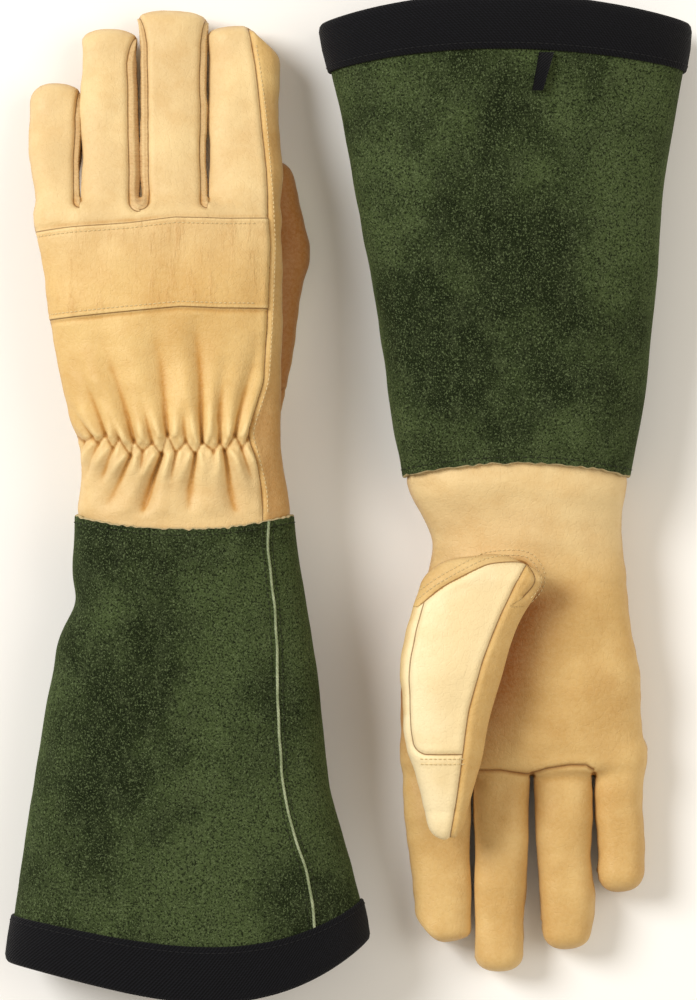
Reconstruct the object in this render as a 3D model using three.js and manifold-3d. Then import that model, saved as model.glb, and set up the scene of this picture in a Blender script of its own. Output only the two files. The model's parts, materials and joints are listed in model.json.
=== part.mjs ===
// A pair of gauntlet gardening gloves lying side by side, in millimetres, +Z up.
// The left glove lies palm down with its fingers towards +Y; the right one lies palm up,
// turned end for end, with its fingers towards -Y.
// Each glove is built in its own frame: +Y towards the fingertips, +X towards the thumb,
// +Z out of the back of the hand, origin in the middle of the wrist at the cuff's edge.
import * as THREE from "three";
import { mergeVertices } from "three/addons/utils/BufferGeometryUtils.js";
import Module from "manifold-3d";

const wasm = await Module();
wasm.setup();

// Driving dimensions.
const LEATHER = 1.4; // grain leather of the hand
const SUEDE = 1.7; // split suede of the cuff
const GAP = 0.3; // kept between neighbouring pieces
const SECTION_POWER = 2.7; // roundness of every cross-section: 2 is an ellipse
const RING_POINTS = 16; // points round a whole tube
const BINDING = { height: 18.5, thick: 1.6, lip: 1.9 };
const BAND = { low: 89, high: 130, thick: 1.3 }; // knuckle reinforcement
const ELASTIC = { low: 27, high: 36, thick: 1.2, around: [62, 190] };
const WELT = { thick: 0.9, around: [46, 49.5] }; // covers the cuff's lap seam
const HEM = -188;
const HEM_BOW = { depth: 14, start: -110 }; // the hem's middle hangs below its corners
const CUFF_TOP = 3;
const WRIST_END = -9; // the hand's leather ends inside the cuff
const FINGER_ROOT = 137;
const FINGER_OVERLAP = 6; // a finger starts this far inside the hand
const FINGER_TALL = 11; // half height of a finger
const FINGER_ROWS = [0, 0.55, 0.86, 0.96, 1]; // sections from a finger's bending line to its tip
const HINGE = { gap: 0.45, drop: 4, flex: 70 }; // a finger's bending line, below its middle
const FORK_HALF = 8.3; // half height of the strips between fingers
const COLLAR = { x: 16, y: 60, radius: 12, top: -16.8, bottom: -23.5 }; // mouth of the thumb
const THUMB_TIP_SEAM = 121;
const LOOP = { x: -12, width: 6.5, length: 17, tape: 0.5, eye: 0.4, slant: 4, room: 1.6 };
const FAR = 100; // beyond any part of a glove
const BEYOND = 6; // how far a cutting wedge reaches outside a section
const END_ROOM = 12; // how far a cutting tube runs past a bowed end

// Seam angles round a section, in degrees from +X towards +Z.
const DEG = Math.PI / 180;
const HAND_SEAM = { thumbSide: 50, outerSide: 199, gap: 1 };
const FINGER_SEAM = { up: 46, gap: 2.4 };
const THUMB_SEAM = { outer: 355, front: 245, inner: 197, gap: 2.4 };

// Stations of a tube: [y, low x, high x, half thickness, middle z].
// Fingers: root and tip as [x, y], half widths there, bending line, middle z at root and tip.
const LEFT = {
  name: "left",
  origin: [-70.3, -9.5],
  turned: false,
  cuff: [
    [HEM, -77, 79.5, 26, -12.5],
    [-165, -74, 75.5, 26, -12.5],
    [-120, -67, 64.3, 25, -11],
    [-76, -60, 59, 24, -9],
    [-33, -49.5, 53, 22.5, -7],
    [CUFF_TOP, -47.6, 47.7, 21.5, -5.5],
  ],
  hand: [
    [WRIST_END, -43.5, 43.5, 15, -4.5],
    [9.5, -44.4, 44.4, 15.5, -3.5],
    [31, -43.9, 41.5, 16.5, -0.5],
    [52, -50.5, 42.2, 17.5, 0],
    [74, -55.8, 43, 17.5, 0],
    [BAND.low - 1, -58, 43, 17, 0],
    [BAND.high + 1, -63.6, 42.5, 14, 0],
    [FINGER_ROOT, -64.5, 42.8, 12, -0.5],
  ],
  fingers: {
    index: { root: [26, 128], tip: [25.4, 214], half: [14.4, 14], bend: 163, mid: [0, -29] },
    middle: { root: [-3.8, 128], tip: [-6.5, 221], half: [13.4, 13.4], bend: 168, mid: [0, -29] },
    ring: { root: [-31.3, 128], tip: [-32.8, 212.5], half: [12, 11.4], bend: 165, mid: [0, -29] },
    little: { root: [-54.6, 128], tip: [-55, 189.2], half: [10, 9.6], bend: 156, mid: [0, -29] },
  },
  thumb: [
    [41, -4, 36, 5, -29.8],
    [46, -10, 42, 10, -29.8],
    [65, 0, 44.5, 10.6, -29.4],
    [87, 8, 47.5, 10.6, -29.4],
    [113, 20, 54, 10.6, -29.4],
    [130, 24, 51.8, 10.3, -29.7],
    [145, 29, 47.5, 8.5, -31.5],
    [156, 34, 42, 4, -33.5],
  ],
};
const RIGHT = {
  name: "right",
  origin: [72.2, 12.9],
  turned: true,
  cuff: [
    [HEM, -75, 85, 26, -8.5],
    [-155, -70.3, 77, 26, -8.5],
    [-116, -63.9, 69, 25, -7.8],
    [-73, -60.8, 61.7, 24, -6.5],
    [-30, -56.6, 54.8, 22.5, -5],
    [CUFF_TOP, -49.6, 49.6, 21.5, -3.5],
  ],
  hand: [
    [WRIST_END, -46, 46, 15, -2.5],
    [12.9, -45.8, 42.6, 15.5, -1.5],
    [32, -45.6, 35, 16.5, -0.5],
    [52, -47.9, 40.5, 17.5, 0],
    [74, -51.6, 46.5, 17.3, 0],
    [BAND.low - 1, -54, 50, 17, 0],
    [BAND.high + 1, -56.4, 50.2, 13.5, 3],
    [FINGER_ROOT, -56.4, 49.6, 12, 5],
  ],
  fingers: {
    index: { root: [34.6, 124], tip: [30.5, 203.4], half: [13.4, 12.6], bend: 164, mid: [4.5, 7.9] },
    middle: { root: [6, 124], tip: [7.3, 216.7], half: [12, 11], bend: 165, mid: [4.5, 7.9] },
    ring: { root: [-20, 124], tip: [-22.8, 207.3], half: [12, 11.4], bend: 161, mid: [4.5, 7.9] },
    little: { root: [-45, 124], tip: [-45.4, 181.5], half: [11, 9.8], bend: 152, mid: [4.5, 7.9] },
  },
  thumb: [
    [41, -6, 36, 5, -29.6],
    [46, -12, 42, 10, -29.6],
    [65, 0, 46.5, 10.8, -29.7],
    [85, 6, 50, 10.8, -29.7],
    [105, 11.5, 50, 10.6, -29],
    [123, 15, 46, 10, -26.5],
    [142, 20.5, 40.5, 8, -24],
    [157.4, 28, 35, 3.5, -20.5],
  ],
};

const MATERIALS = {
  leather: [0xe3bb72, 0.62],
  thumb: [0xf0d7a2, 0.6],
  suede: [0x3a4a25, 0.95],
  welt: [0xb9bf93, 0.85],
  webbing: [0x14151a, 0.85],
  elastic: [0xd8cdb4, 0.9],
};

const HAND_ROWS = [WRIST_END, 10, 31, 52, 74, BAND.low - 1, BAND.high + 1, FINGER_ROOT];
const CUFF_ROWS = [HEM, HEM + BINDING.height, -150, -116, -76, -33, CUFF_TOP];

// The side strips of each finger, towards its neighbours.
const SIDES = {
  index: ["outer_side"],
  middle: ["thumb_side", "outer_side"],
  ring: ["thumb_side", "outer_side"],
  little: ["thumb_side"],
};
const NEIGHBOURS = [
  ["index", "middle"],
  ["middle", "ring"],
  ["ring", "little"],
];

// A tube's section at y from its stations: [low x, high x, half thickness, middle z].
function at(stations, y) {
  const last = stations.length - 2;
  const k = stations.findIndex((s, i) => i === last || stations[i + 1][0] >= y);
  const [a, b] = [stations[k], stations[k + 1]];
  const t = THREE.MathUtils.clamp((y - a[0]) / (b[0] - a[0]), 0, 1);
  return [1, 2, 3, 4].map((i) => a[i] + t * (b[i] - a[i]));
}

// A finger's middle height at y, falling gently from its root to its tip.
function middleOf({ root, tip, mid }, y) {
  const t = (y - root[1]) / (tip[1] - root[1]);
  const eased = (t * t * (3 - 2 * t) + t) / 2;
  return mid[0] + eased * (mid[1] - mid[0]);
}

// A finger's section at y: straight in plan, with a domed tip.
function fingerSection(finger) {
  const { root, tip, half } = finger;
  return (y) => {
    const t = (y - root[1]) / (tip[1] - root[1]);
    const dome = Math.max(0, 1 - (tip[1] - y) / FINGER_TALL);
    const shrink = Math.sqrt(Math.max(1 - dome * dome, 0.05));
    const centre = root[0] + t * (tip[0] - root[0]);
    const wide = (half[0] + t * (half[1] - half[0])) * shrink;
    return [centre - wide, centre + wide, FINGER_TALL * shrink, middleOf(finger, y)];
  };
}

// A point of a rounded section at an angle in degrees, grown outwards by out.
function sectionPoint([low, high, half, middle], y, angle, out) {
  const bend = (v) => Math.sign(v) * Math.abs(v) ** (2 / SECTION_POWER);
  const wide = Math.max((high - low) / 2 + out, 0.5);
  const tall = Math.max(half + out, 0.5);
  const x = (low + high) / 2 + wide * bend(Math.cos(angle * DEG));
  return [x, y, middle + tall * bend(Math.sin(angle * DEG))];
}

// A closed solid through rings of points, rings along the tube.
function loft(rings) {
  const n = rings[0].length;
  const last = (rings.length - 1) * n;
  const faces = [];
  for (let r = 0; r < last; r += n)
    for (let i = 0; i < n; i++) {
      const [a, b] = [r + i, r + ((i + 1) % n)];
      faces.push(a, b, b + n, a, b + n, a + n);
    }
  for (let i = 1; i < n - 1; i++) faces.push(0, i + 1, i, last, last + i, last + i + 1);
  const made = new THREE.BufferGeometry();
  made.setAttribute("position", new THREE.Float32BufferAttribute(rings.flat(2), 3));
  made.setIndex(faces);
  return solid(made);
}

// A closed three.js geometry as a manifold-3d solid, facing outwards.
function solid(geometry) {
  const plain = geometry.clone();
  plain.deleteAttribute("normal");
  plain.deleteAttribute("uv");
  const merged = mergeVertices(plain, 1e-4);
  const vertProperties = merged.attributes.position.array;
  const all = Array.from(merged.index.array);
  const corners = (i) => all.slice(i - (i % 3), i - (i % 3) + 3);
  const order = all.filter((_, i) => new Set(corners(i)).size === 3);
  const build = (order) => {
    const triVerts = new Uint32Array(order);
    return new wasm.Manifold(new wasm.Mesh({ numProp: 3, vertProperties, triVerts }));
  };
  const made = build(order);
  return made.volume() > 0 ? made : build(order.reverse());
}

function geometryOf(made) {
  const mesh = made.getMesh();
  const geometry = new THREE.BufferGeometry();
  const points = new Float32Array(mesh.vertProperties);
  geometry.setAttribute("position", new THREE.BufferAttribute(points, 3));
  geometry.setIndex(new THREE.BufferAttribute(new Uint32Array(mesh.triVerts), 1));
  return geometry;
}

// All the solids of a list as one.
function joined(solids) {
  return solids.reduce((a, b) => a.add(b));
}

function block(low, high) {
  const made = new THREE.BoxGeometry(...high.map((v, i) => v - low[i]));
  return solid(made.translate(...high.map((v, i) => (v + low[i]) / 2)));
}

// A filled tube along y, with flat facets at its top and bottom.
function tube(section, ys, out, bow = (x, y) => y) {
  const turn = Array.from({ length: RING_POINTS }, (_, i) => ((i + 0.5) * 360) / RING_POINTS);
  const ring = (y) =>
    turn.map((angle) => {
      const [x, , z] = sectionPoint(section(y), y, angle, out);
      return [x, bow(x, y), z];
    });
  return loft(ys.map(ring));
}

// The slice of a tube's surroundings between two seam angles, from its middle to well outside.
function wedge(section, ys, from, to) {
  const steps = Math.max(2, Math.round((to - from) / 30));
  const turn = Array.from({ length: steps + 1 }, (_, i) => from + ((to - from) * i) / steps);
  const ring = (y) => {
    const [low, high, , middle] = section(y);
    const outside = turn.map((angle) => sectionPoint(section(y), y, angle, BEYOND));
    return [[(low + high) / 2, y, middle], ...outside];
  };
  return loft(ys.map(ring));
}

// A flat outline extruded along z.
function slab(points, from, to) {
  const shape = new THREE.Shape(points.map(([x, y]) => new THREE.Vector2(x, y)));
  const made = new THREE.ExtrudeGeometry(shape, { depth: to - from, bevelEnabled: false });
  return solid(made.translate(0, 0, from));
}

// An outline of the y-z plane extruded along x.
function prism(points, from, to) {
  return slab(points, from, to).transform([0, 1, 0, 0, 0, 0, 1, 0, 1, 0, 0, 0, 0, 0, 0, 1]);
}

function disc(radius, [x, y], low, high) {
  const made = new THREE.CylinderGeometry(radius, radius, high - low, RING_POINTS);
  made.rotateX(Math.PI / 2);
  return solid(made.translate(x, y, (low + high) / 2));
}

// The space a finger's bend needs on the far side (+1) or near side (-1) of its bending line:
// upright above the line, and leaning away below it so that the two cut edges meet when bent.
function bendSpace(finger, side) {
  const edge = finger.bend - side * HINGE.gap;
  const height = middleOf(finger, finger.bend) - HINGE.drop;
  const lean = FAR * Math.tan((HINGE.flex / 2) * DEG);
  const points = [
    [edge, height + FAR],
    [edge, height],
    [edge - side * lean, height - FAR],
    [edge + side * FAR, height - FAR],
    [edge + side * FAR, height + FAR],
  ];
  const reach = 2 * finger.half[0];
  return prism(points, finger.root[0] - reach, finger.root[0] + reach);
}

// Seam angles of a finger's back, front and side strips. The palm leather wraps the index
// finger's outer side and the back leather wraps the little finger's.
function fingerCover(name) {
  const { up, gap } = FINGER_SEAM;
  const half = gap / 2;
  const cover = {
    back: [up + half, 180 - up - half],
    front: [180 + up + half, 360 - up - half],
    thumb_side: [-up + half, up - half],
    outer_side: [180 - up + half, 180 + up - half],
  };
  if (name === "index") cover.front[1] = 360 + up - half;
  if (name === "little") cover.back[1] = 180 + up - half;
  return cover;
}

// The part of a finger beyond its bending line, cut along its seams.
function fingerPieces(name, finger) {
  const section = fingerSection(finger);
  const start = finger.bend;
  const length = finger.tip[1] - start;
  const rows = FINGER_ROWS.map((t) => start + t * length);
  const inner = [start - 1, ...rows.slice(1).map((y) => y - LEATHER)];
  const shell = tube(section, rows, 0)
    .subtract(tube((y) => section(y + LEATHER), inner, -LEATHER))
    .subtract(bendSpace(finger, -1));
  const reach = [start - 2, ...rows.slice(1), finger.tip[1] + 2];
  const cover = fingerCover(name);
  const pieces = {};
  for (const part of ["back", "front", ...SIDES[name]])
    pieces[name + "_" + part] = shell.intersect(wedge(section, reach, ...cover[part]));
  return pieces;
}

// The space that the strip between two fingers keeps, with a margin all round and more above:
// on each finger's own side of the gap, a band at that finger's height.
function forkSpace(glove, [a, b], margin, above = margin) {
  const [near, far] = [glove.fingers[a], glove.fingers[b]];
  const gap = (near.root[0] - near.half[0] + far.root[0] + far.half[0]) / 2;
  const start = FINGER_ROOT - LEATHER - 0.5 - margin;
  const band = (finger, low, high) => {
    const ring = (y) => {
      const middle = middleOf(finger, y);
      const [bottom, top] = [middle - FORK_HALF - margin, middle + FORK_HALF + above];
      return [
        [low, y, bottom],
        [high, y, bottom],
        [high, y, top],
        [low, y, top],
      ];
    };
    return loft([0, 0.5, 1].map((t) => ring(start + t * (finger.bend + 2 - start))));
  };
  return band(near, gap - 0.1, near.root[0]).add(band(far, far.root[0], gap));
}

// The hand and the roots of its fingers as one hollow shell.
function handShell(glove) {
  const section = (y) => at(glove.hand, y);
  const fingers = Object.values(glove.fingers);
  const root = FINGER_ROOT - FINGER_OVERLAP;
  const rows = (finger) => [root, (root + finger.bend) / 2, finger.bend + 2];
  const outside = fingers.map((finger) => tube(fingerSection(finger), rows(finger), 0));
  const inside = fingers.map((finger) => tube(fingerSection(finger), rows(finger), -LEATHER));
  const innerRows = [WRIST_END - 1, ...HAND_ROWS.slice(1, -1), FINGER_ROOT - LEATHER];
  const outer = joined([tube(section, HAND_ROWS, 0), ...outside]);
  const inner = joined([tube(section, innerRows, -LEATHER), ...inside]);
  const cut = fingers.map((finger) => bendSpace(finger, 1));
  return outer.subtract(inner).subtract(joined(cut));
}

// The back of the hand and of the finger roots, widened or narrowed by half the seam gap.
function backSpace(glove, sign) {
  const half = (sign * HAND_SEAM.gap) / 2;
  const rows = [WRIST_END - 1, ...HAND_ROWS.slice(1)];
  const section = (y) => at(glove.hand, y);
  const hand = wedge(section, rows, HAND_SEAM.thumbSide - half, HAND_SEAM.outerSide + half);
  const fingers = Object.entries(glove.fingers).map(([name, finger]) => {
    const [from, to] = fingerCover(name).back;
    const extra = sign > 0 ? FINGER_SEAM.gap : 0;
    const ys = [FINGER_ROOT - 3, (FINGER_ROOT + finger.bend) / 2, finger.bend + 1];
    return wedge(fingerSection(finger), ys, from - extra, to + extra);
  });
  return joined([hand, ...fingers]);
}

// The front of the two middle fingers' roots, sewn to the palm along one seam.
function middleFrontSpace(glove, margin) {
  const { index, middle, ring, little } = glove.fingers;
  const between = (a, b) => (a.root[0] - a.half[0] + b.root[0] + b.half[0]) / 2;
  const low = [between(ring, little) + 0.3 - margin, FINGER_ROOT - 1 - margin, -FAR];
  const top = middleOf(middle, FINGER_ROOT);
  const high = [between(index, middle) - 0.3 + margin, FINGER_ROOT + FAR, top];
  return block(low, high);
}

function handPieces(glove) {
  const shell = handShell(glove);
  const forks = NEIGHBOURS.map((pair) => shell.intersect(forkSpace(glove, pair, 0)));
  const spaces = NEIGHBOURS.map((pair) => forkSpace(glove, pair, GAP));
  const back = shell.subtract(joined(spaces)).intersect(backSpace(glove, -1));
  const below = NEIGHBOURS.map((pair) => forkSpace(glove, pair, GAP, 2 * FORK_HALF));
  const front = shell.subtract(joined(below)).subtract(backSpace(glove, 1));
  const middle = front.intersect(middleFrontSpace(glove, 0));
  const mouth = [COLLAR.x, COLLAR.y];
  const collar = disc(COLLAR.radius, mouth, COLLAR.bottom, COLLAR.top); // the thumb turns on it
  const bore = disc(COLLAR.radius - LEATHER, mouth, COLLAR.bottom - 1, 0);
  const palm = front
    .subtract(middleFrontSpace(glove, GAP))
    .add(collar)
    .subtract(bore);
  const pieces = { back_panel: back, palm_panel: palm, middle_ring_front: middle };
  NEIGHBOURS.forEach((pair, i) => (pieces[pair.join("_") + "_fork"] = forks[i]));
  return pieces;
}

// A band round part of the hand, its inner face at a given height over the hand's outline.
function handBand(glove, [low, high], [from, to], inner, thick) {
  const section = (y) => at(glove.hand, y);
  const rows = [low, (low + high) / 2, high];
  const beyond = [low - 1, (low + high) / 2, high + 1];
  return tube(section, rows, inner + thick)
    .subtract(tube(section, beyond, inner))
    .intersect(wedge(section, beyond, from, to));
}

function thumbPieces(glove) {
  const section = (y) => at(glove.thumb, y);
  const rows = glove.thumb.map((s) => s[0]);
  const [first, last] = [rows[0], rows[rows.length - 1]];
  const inner = [first + LEATHER, ...rows.slice(1, -1), last - LEATHER];
  const mouth = disc(COLLAR.radius + GAP, [COLLAR.x, COLLAR.y], section(COLLAR.y)[3], 0);
  const shell = tube(section, rows, 0).subtract(tube(section, inner, -LEATHER)).subtract(mouth);
  const { outer, front, inner: side, gap } = THUMB_SEAM;
  const half = gap / 2;
  const reach = [first - 2, ...rows.slice(1, -1), last + 2];
  const slice = (from, to) => shell.intersect(wedge(section, reach, from + half, to - half));
  const face = slice(front, outer);
  const tip = (y) => block([-FAR, y, -FAR], [FAR, 2 * FAR, FAR]);
  return {
    thumb_patch: face.subtract(tip(THUMB_TIP_SEAM)),
    thumb_tip: face.intersect(tip(THUMB_TIP_SEAM + GAP)),
    thumb_strip: slice(side, front),
    thumb_back: slice(outer, side + 360),
  };
}

// The hem hangs lower in its middle, on the back and the palm side alike.
function hemBow(glove) {
  return (x, y) => {
    const [low, high] = at(glove.cuff, y);
    const across = (2 * x - low - high) / (high - low);
    const share = THREE.MathUtils.clamp((HEM_BOW.start - y) / (HEM_BOW.start - HEM), 0, 1.2);
    return y - share * HEM_BOW.depth * Math.max(0, 1 - across * across);
  };
}

function cuffPieces(glove) {
  const section = (y) => at(glove.cuff, y);
  const bow = hemBow(glove);
  const layer = (ys, out) => tube(section, ys, out, bow);
  const inside = [HEM - END_ROOM, ...CUFF_ROWS, CUFF_TOP + 1];
  const sleeve = layer(CUFF_ROWS, 0).subtract(layer(inside, -SUEDE));
  const proud = GAP + BINDING.thick;
  const top = HEM + BINDING.height;
  const through = [HEM - END_ROOM, HEM, top, top + END_ROOM];
  const slot = layer([HEM - GAP, HEM, top, top + 2], GAP).subtract(layer(through, -SUEDE - GAP));
  const binding = layer([HEM - BINDING.lip, HEM, top], proud)
    .subtract(slot)
    .subtract(layer(through, -SUEDE - proud));
  const run = [top + 1, ...CUFF_ROWS.slice(2, -1), CUFF_TOP - 1];
  const around = [top - END_ROOM, ...run, CUFF_TOP + END_ROOM];
  const strip = layer(run, GAP + WELT.thick).subtract(layer(around, GAP));
  const welt = strip.intersect(wedge(section, around, ...WELT.around));
  return { cuff_sleeve: sleeve, cuff_seam_welt: welt, hem_binding: binding };
}

// A folded tape on the palm side, caught at the binding's edge.
function hangingLoop(glove) {
  const top = HEM + BINDING.height;
  const edge = hemBow(glove)(LOOP.x, top) + GAP + LOOP.room;
  const deep = 2 * LOOP.tape + LOOP.eye;
  const section = at(glove.cuff, top);
  const facet = 270 + 180 / RING_POINTS;
  const near = sectionPoint(section, top, facet, 0)[2] - GAP;
  const end = LOOP.length - deep / 2;
  const fold = [90, 45, 0, -45, -90].map((angle) => [
    end + (deep / 2) * Math.cos(angle * DEG),
    -deep / 2 + (deep / 2) * Math.sin(angle * DEG),
  ]);
  const outside = slab([[0, 0], ...fold, [0, -deep]], 0, LOOP.width);
  const inside = [
    [3, -LOOP.tape],
    [end, -LOOP.tape],
    [end, -LOOP.tape - LOOP.eye],
    [3, -LOOP.tape - LOOP.eye],
  ];
  const made = outside.subtract(slab(inside, -1, LOOP.width + 1));
  // The outline's x runs along the loop and its y out of the cuff; the tape's width runs across.
  const skew = LOOP.slant / LOOP.length;
  const x = LOOP.x - LOOP.width / 2;
  return made.transform([skew, 1, 0, 0, 0, 0, 1, 0, 1, 0, 0, 0, x, edge, near, 1]);
}

// Every piece of a glove: its name, material and solid.
function glovePieces(glove) {
  const around = [HAND_SEAM.thumbSide + 1, HAND_SEAM.outerSide - 1];
  const fingers = Object.entries(glove.fingers).map(([name, finger]) => fingerPieces(name, finger));
  const band = handBand(glove, [BAND.low, BAND.high], around, GAP, BAND.thick);
  const { low, high, thick } = ELASTIC;
  const elastic = handBand(glove, [low, high], ELASTIC.around, -LEATHER - GAP - thick, thick);
  const thumb = thumbPieces(glove);
  const cuff = cuffPieces(glove);
  return [
    ["leather", { ...handPieces(glove), knuckle_band: band, ...Object.assign({}, ...fingers) }],
    ["elastic", { wrist_elastic: elastic }],
    ["thumb", thumb],
    ["suede", { cuff_sleeve: cuff.cuff_sleeve }],
    ["welt", { cuff_seam_welt: cuff.cuff_seam_welt }],
    ["webbing", { hem_binding: cuff.hem_binding, hanging_loop: hangingLoop(glove) }],
  ];
}

function makeGlove(glove) {
  const group = new THREE.Group();
  for (const [material, pieces] of glovePieces(glove)) {
    const [color, roughness] = MATERIALS[material];
    for (const [name, made] of Object.entries(pieces)) {
      const look = new THREE.MeshStandardMaterial({ color, roughness, metalness: 0 });
      const mesh = new THREE.Mesh(geometryOf(made), look);
      mesh.name = glove.name + "_" + name;
      group.add(mesh);
    }
  }
  // The right glove is the left one's mirror image, lying on its back and turned end for end.
  if (glove.turned) group.scale.set(-1, -1, -1);
  const ground = new THREE.Box3().setFromObject(group, true).min.z;
  group.position.set(...glove.origin, -ground);
  return group;
}

// Both gloves on the ground, the middle of their outline over the origin.
const pair = new THREE.Group();
pair.add(makeGlove(LEFT), makeGlove(RIGHT));
const middle = new THREE.Box3().setFromObject(pair, true).getCenter(new THREE.Vector3());
pair.position.set(-middle.x, -middle.y, 0);

export default pair;
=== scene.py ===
"""Gauntlet gardening gloves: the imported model's frame, dressed in leather, suede and webbing."""

import json
import math

import bpy
import numpy as np
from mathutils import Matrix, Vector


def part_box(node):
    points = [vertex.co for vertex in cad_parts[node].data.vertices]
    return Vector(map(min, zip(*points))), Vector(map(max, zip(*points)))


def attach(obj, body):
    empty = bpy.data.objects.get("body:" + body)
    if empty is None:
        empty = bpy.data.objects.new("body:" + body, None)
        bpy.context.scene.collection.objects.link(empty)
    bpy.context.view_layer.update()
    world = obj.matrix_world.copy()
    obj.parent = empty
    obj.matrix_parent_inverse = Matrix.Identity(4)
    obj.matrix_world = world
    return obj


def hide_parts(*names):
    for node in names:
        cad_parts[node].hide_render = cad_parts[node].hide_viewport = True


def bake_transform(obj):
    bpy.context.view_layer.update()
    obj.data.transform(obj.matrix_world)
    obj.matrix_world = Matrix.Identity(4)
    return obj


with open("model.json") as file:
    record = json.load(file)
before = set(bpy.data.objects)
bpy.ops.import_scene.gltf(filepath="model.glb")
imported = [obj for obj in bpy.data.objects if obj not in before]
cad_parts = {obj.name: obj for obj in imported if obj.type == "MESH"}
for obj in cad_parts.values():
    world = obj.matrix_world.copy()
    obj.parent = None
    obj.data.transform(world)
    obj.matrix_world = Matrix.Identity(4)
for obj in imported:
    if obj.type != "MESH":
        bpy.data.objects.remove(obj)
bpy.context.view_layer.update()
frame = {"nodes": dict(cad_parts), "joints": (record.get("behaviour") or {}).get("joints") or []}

import openvdb
from mathutils import Vector
from mathutils.bvhtree import BVHTree

MM = 0.001
VOXEL = 0.65  # mm, of the leather's surface
POWER = 2.45  # roundness of a section: 2 is an ellipse
CUFF_POWER = 2.7  # the same for the cuff
NOISE_WAVES = 9
FINGERS = ("index", "middle", "ring", "little")
GAPS = tuple(zip(FINGERS[:-1], FINGERS[1:]))
FAR = 9.0  # fields of distance end here
STRIPS = {
    "index": ("outer_side",),
    "middle": ("thumb_side", "outer_side"),
    "ring": ("thumb_side", "outer_side"),
    "little": ("thumb_side",),
}
TURN = {"left": 1, "right": -1}  # the right glove is the left one reflected in a point: palm up

# Glove frame: origin at the wrist hinge, +x towards the thumb, +y towards the fingertips and
# +z out of the back of the hand, in millimetres.
WRIST_END = -8.0
CUFF_EDGE = 3.0

# Seams seen in plan. One along the glove is (y, x), one across it is (x, y).
SIDE_SEAM = ((-8, 34.4), (0, 34.2), (13, 33.8), (25, 31.2), (38, 27.5), (60, 34.6), (90, 36.3), (119, 37.2),
             (138, 36.3), (153, 35.0), (176, 32.9), (196, 30.3), (214, 27.2))
BAND_TOP = ((-66, 123.5), (-47, 125.6), (-23, 127.2), (-3, 129.6), (16, 129.2), (40, 129.5))
BAND_LOW = ((-66, 85.2), (-32, 88.6), (-1, 91.4), (16, 90.8), (40, 90.8))
BASE_SEAM = ((-33, 129), (-30, 127), (-23, 127), (-13, 128.6), (-5, 131.6), (7, 129.4), (17, 129.9))
ARCH = ((42, 57), (32, 49.5), (18, 42), (10, 39.2), (-2, 39), (-6.4, 43), (-7.4, 47.3), (-5.6, 50.8),
        (-1.8, 54.5))
ARCH_CLOSING = ((10, 62), (45, 62))  # closes the arch under the thumb
THUMB_TIP_SEAM = 121.0
THUMB_FREE = 60.0  # the thumb leaves the palm here
THUMB_MOUTH = (44, 80)  # from where to where the thumb opens into the hand
DORSAL_OFFSET = {"index": (-0.3, 3.0), "middle": (3.6, 4.6), "ring": (-0.3, 2.6)}
PALMAR_OFFSET = 0.4
# How far the worn leather of a finger stands outside the plain solid, on its outer side and on
# its thumb side.
SWELL = {
    "left": {"index": (2.6, 1.2), "middle": (3.2, 3.0), "ring": (2.6, 3.4), "little": (3.2, 2.6)},
    "right": {"index": (0.2, 0.4), "middle": (0.0, 0.0), "ring": (0.0, 0.2), "little": (0.6, 0.2)},
}
SWELL_SHARES = (-0.5, 0.4, 1, 1, 1, 1)  # how much of it, from inside the hand to past the tip
LITTLE_ROOT = {"left": 2.4, "right": 0.8}  # the little finger's outer side is drawn in at its root
SLIT = {"left": 0.45, "right": 0.8}  # half of the slit between two fingers
CROTCH = {"left": 0.0, "right": -6.0}  # how far the slits start beyond the solids' own
TIP_ROUND = {"index": 5.5, "middle": 8.5, "ring": 9.5, "little": 9.5}
INDEX_CORNER = 2.2  # the index finger's tip is cut slanting, this far out from its middle
WRIST_FOLD = (2, 34)  # from where to where the leather bends at the wrist
THUMB_FOLD = (57, 85)  # and at the thumb
FINGER_FOLD = 13  # and how far to both sides of a finger's bending line
LEATHER_LOW = (-72.0, -42.0)  # x and z that hold all of a glove's leather
LEATHER_HIGH = (62.0, 30.0)
GROUND = 0.0001  # what lies on the ground is flat there, just above it, in metres
PATCH_ROUND = 5.0  # corner radius of the thumb's patch
BAND_THICK = 0.85
# The seam between the thumb's patch and its inner strip.
STRIP_SEAM = ((36, -6), (40.5, -2.8), (63, 8.2), (82, 15.8), (103, 21.2), (122, 23.8), (134, 25.2),
              (156, 28.8))
# The zigzag along the wrist's elastic, where the gathered leather is pinched.
PINCHES = ((-45, 36.5), (-42.5, 34), (-38.7, 36.2), (-36.2, 33.2), (-33, 37.2), (-29.8, 31), (-26.9, 35.6),
           (-22.2, 28.1), (-20.8, 34.6), (-16.9, 29.9), (-12.9, 34), (-9, 28.5), (-6.5, 37.4), (-2.9, 29.2),
           (1.4, 34.4), (5.4, 28.5), (8.2, 34.4), (13.2, 29.9), (15.8, 34.4), (17.9, 29.9), (22.2, 37.2),
           (25.1, 31.3), (27.6, 35.5))
ELASTIC_HALF = 4.5  # half of the elastic's width
# Stitches: radius and sides of the thread, (place, width) along one stitch, and the leather's own
# pitch and length of a stitch.
THREAD_RADIUS = 0.28
THREAD_SIDES = 6
THREAD_PROFILE = ((-0.5, 0.25), (-0.38, 0.85), (0, 1.0), (0.38, 0.85), (0.5, 0.25))
SEAM_PITCH = 2.0
SEAM_STITCH = 1.3
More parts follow.
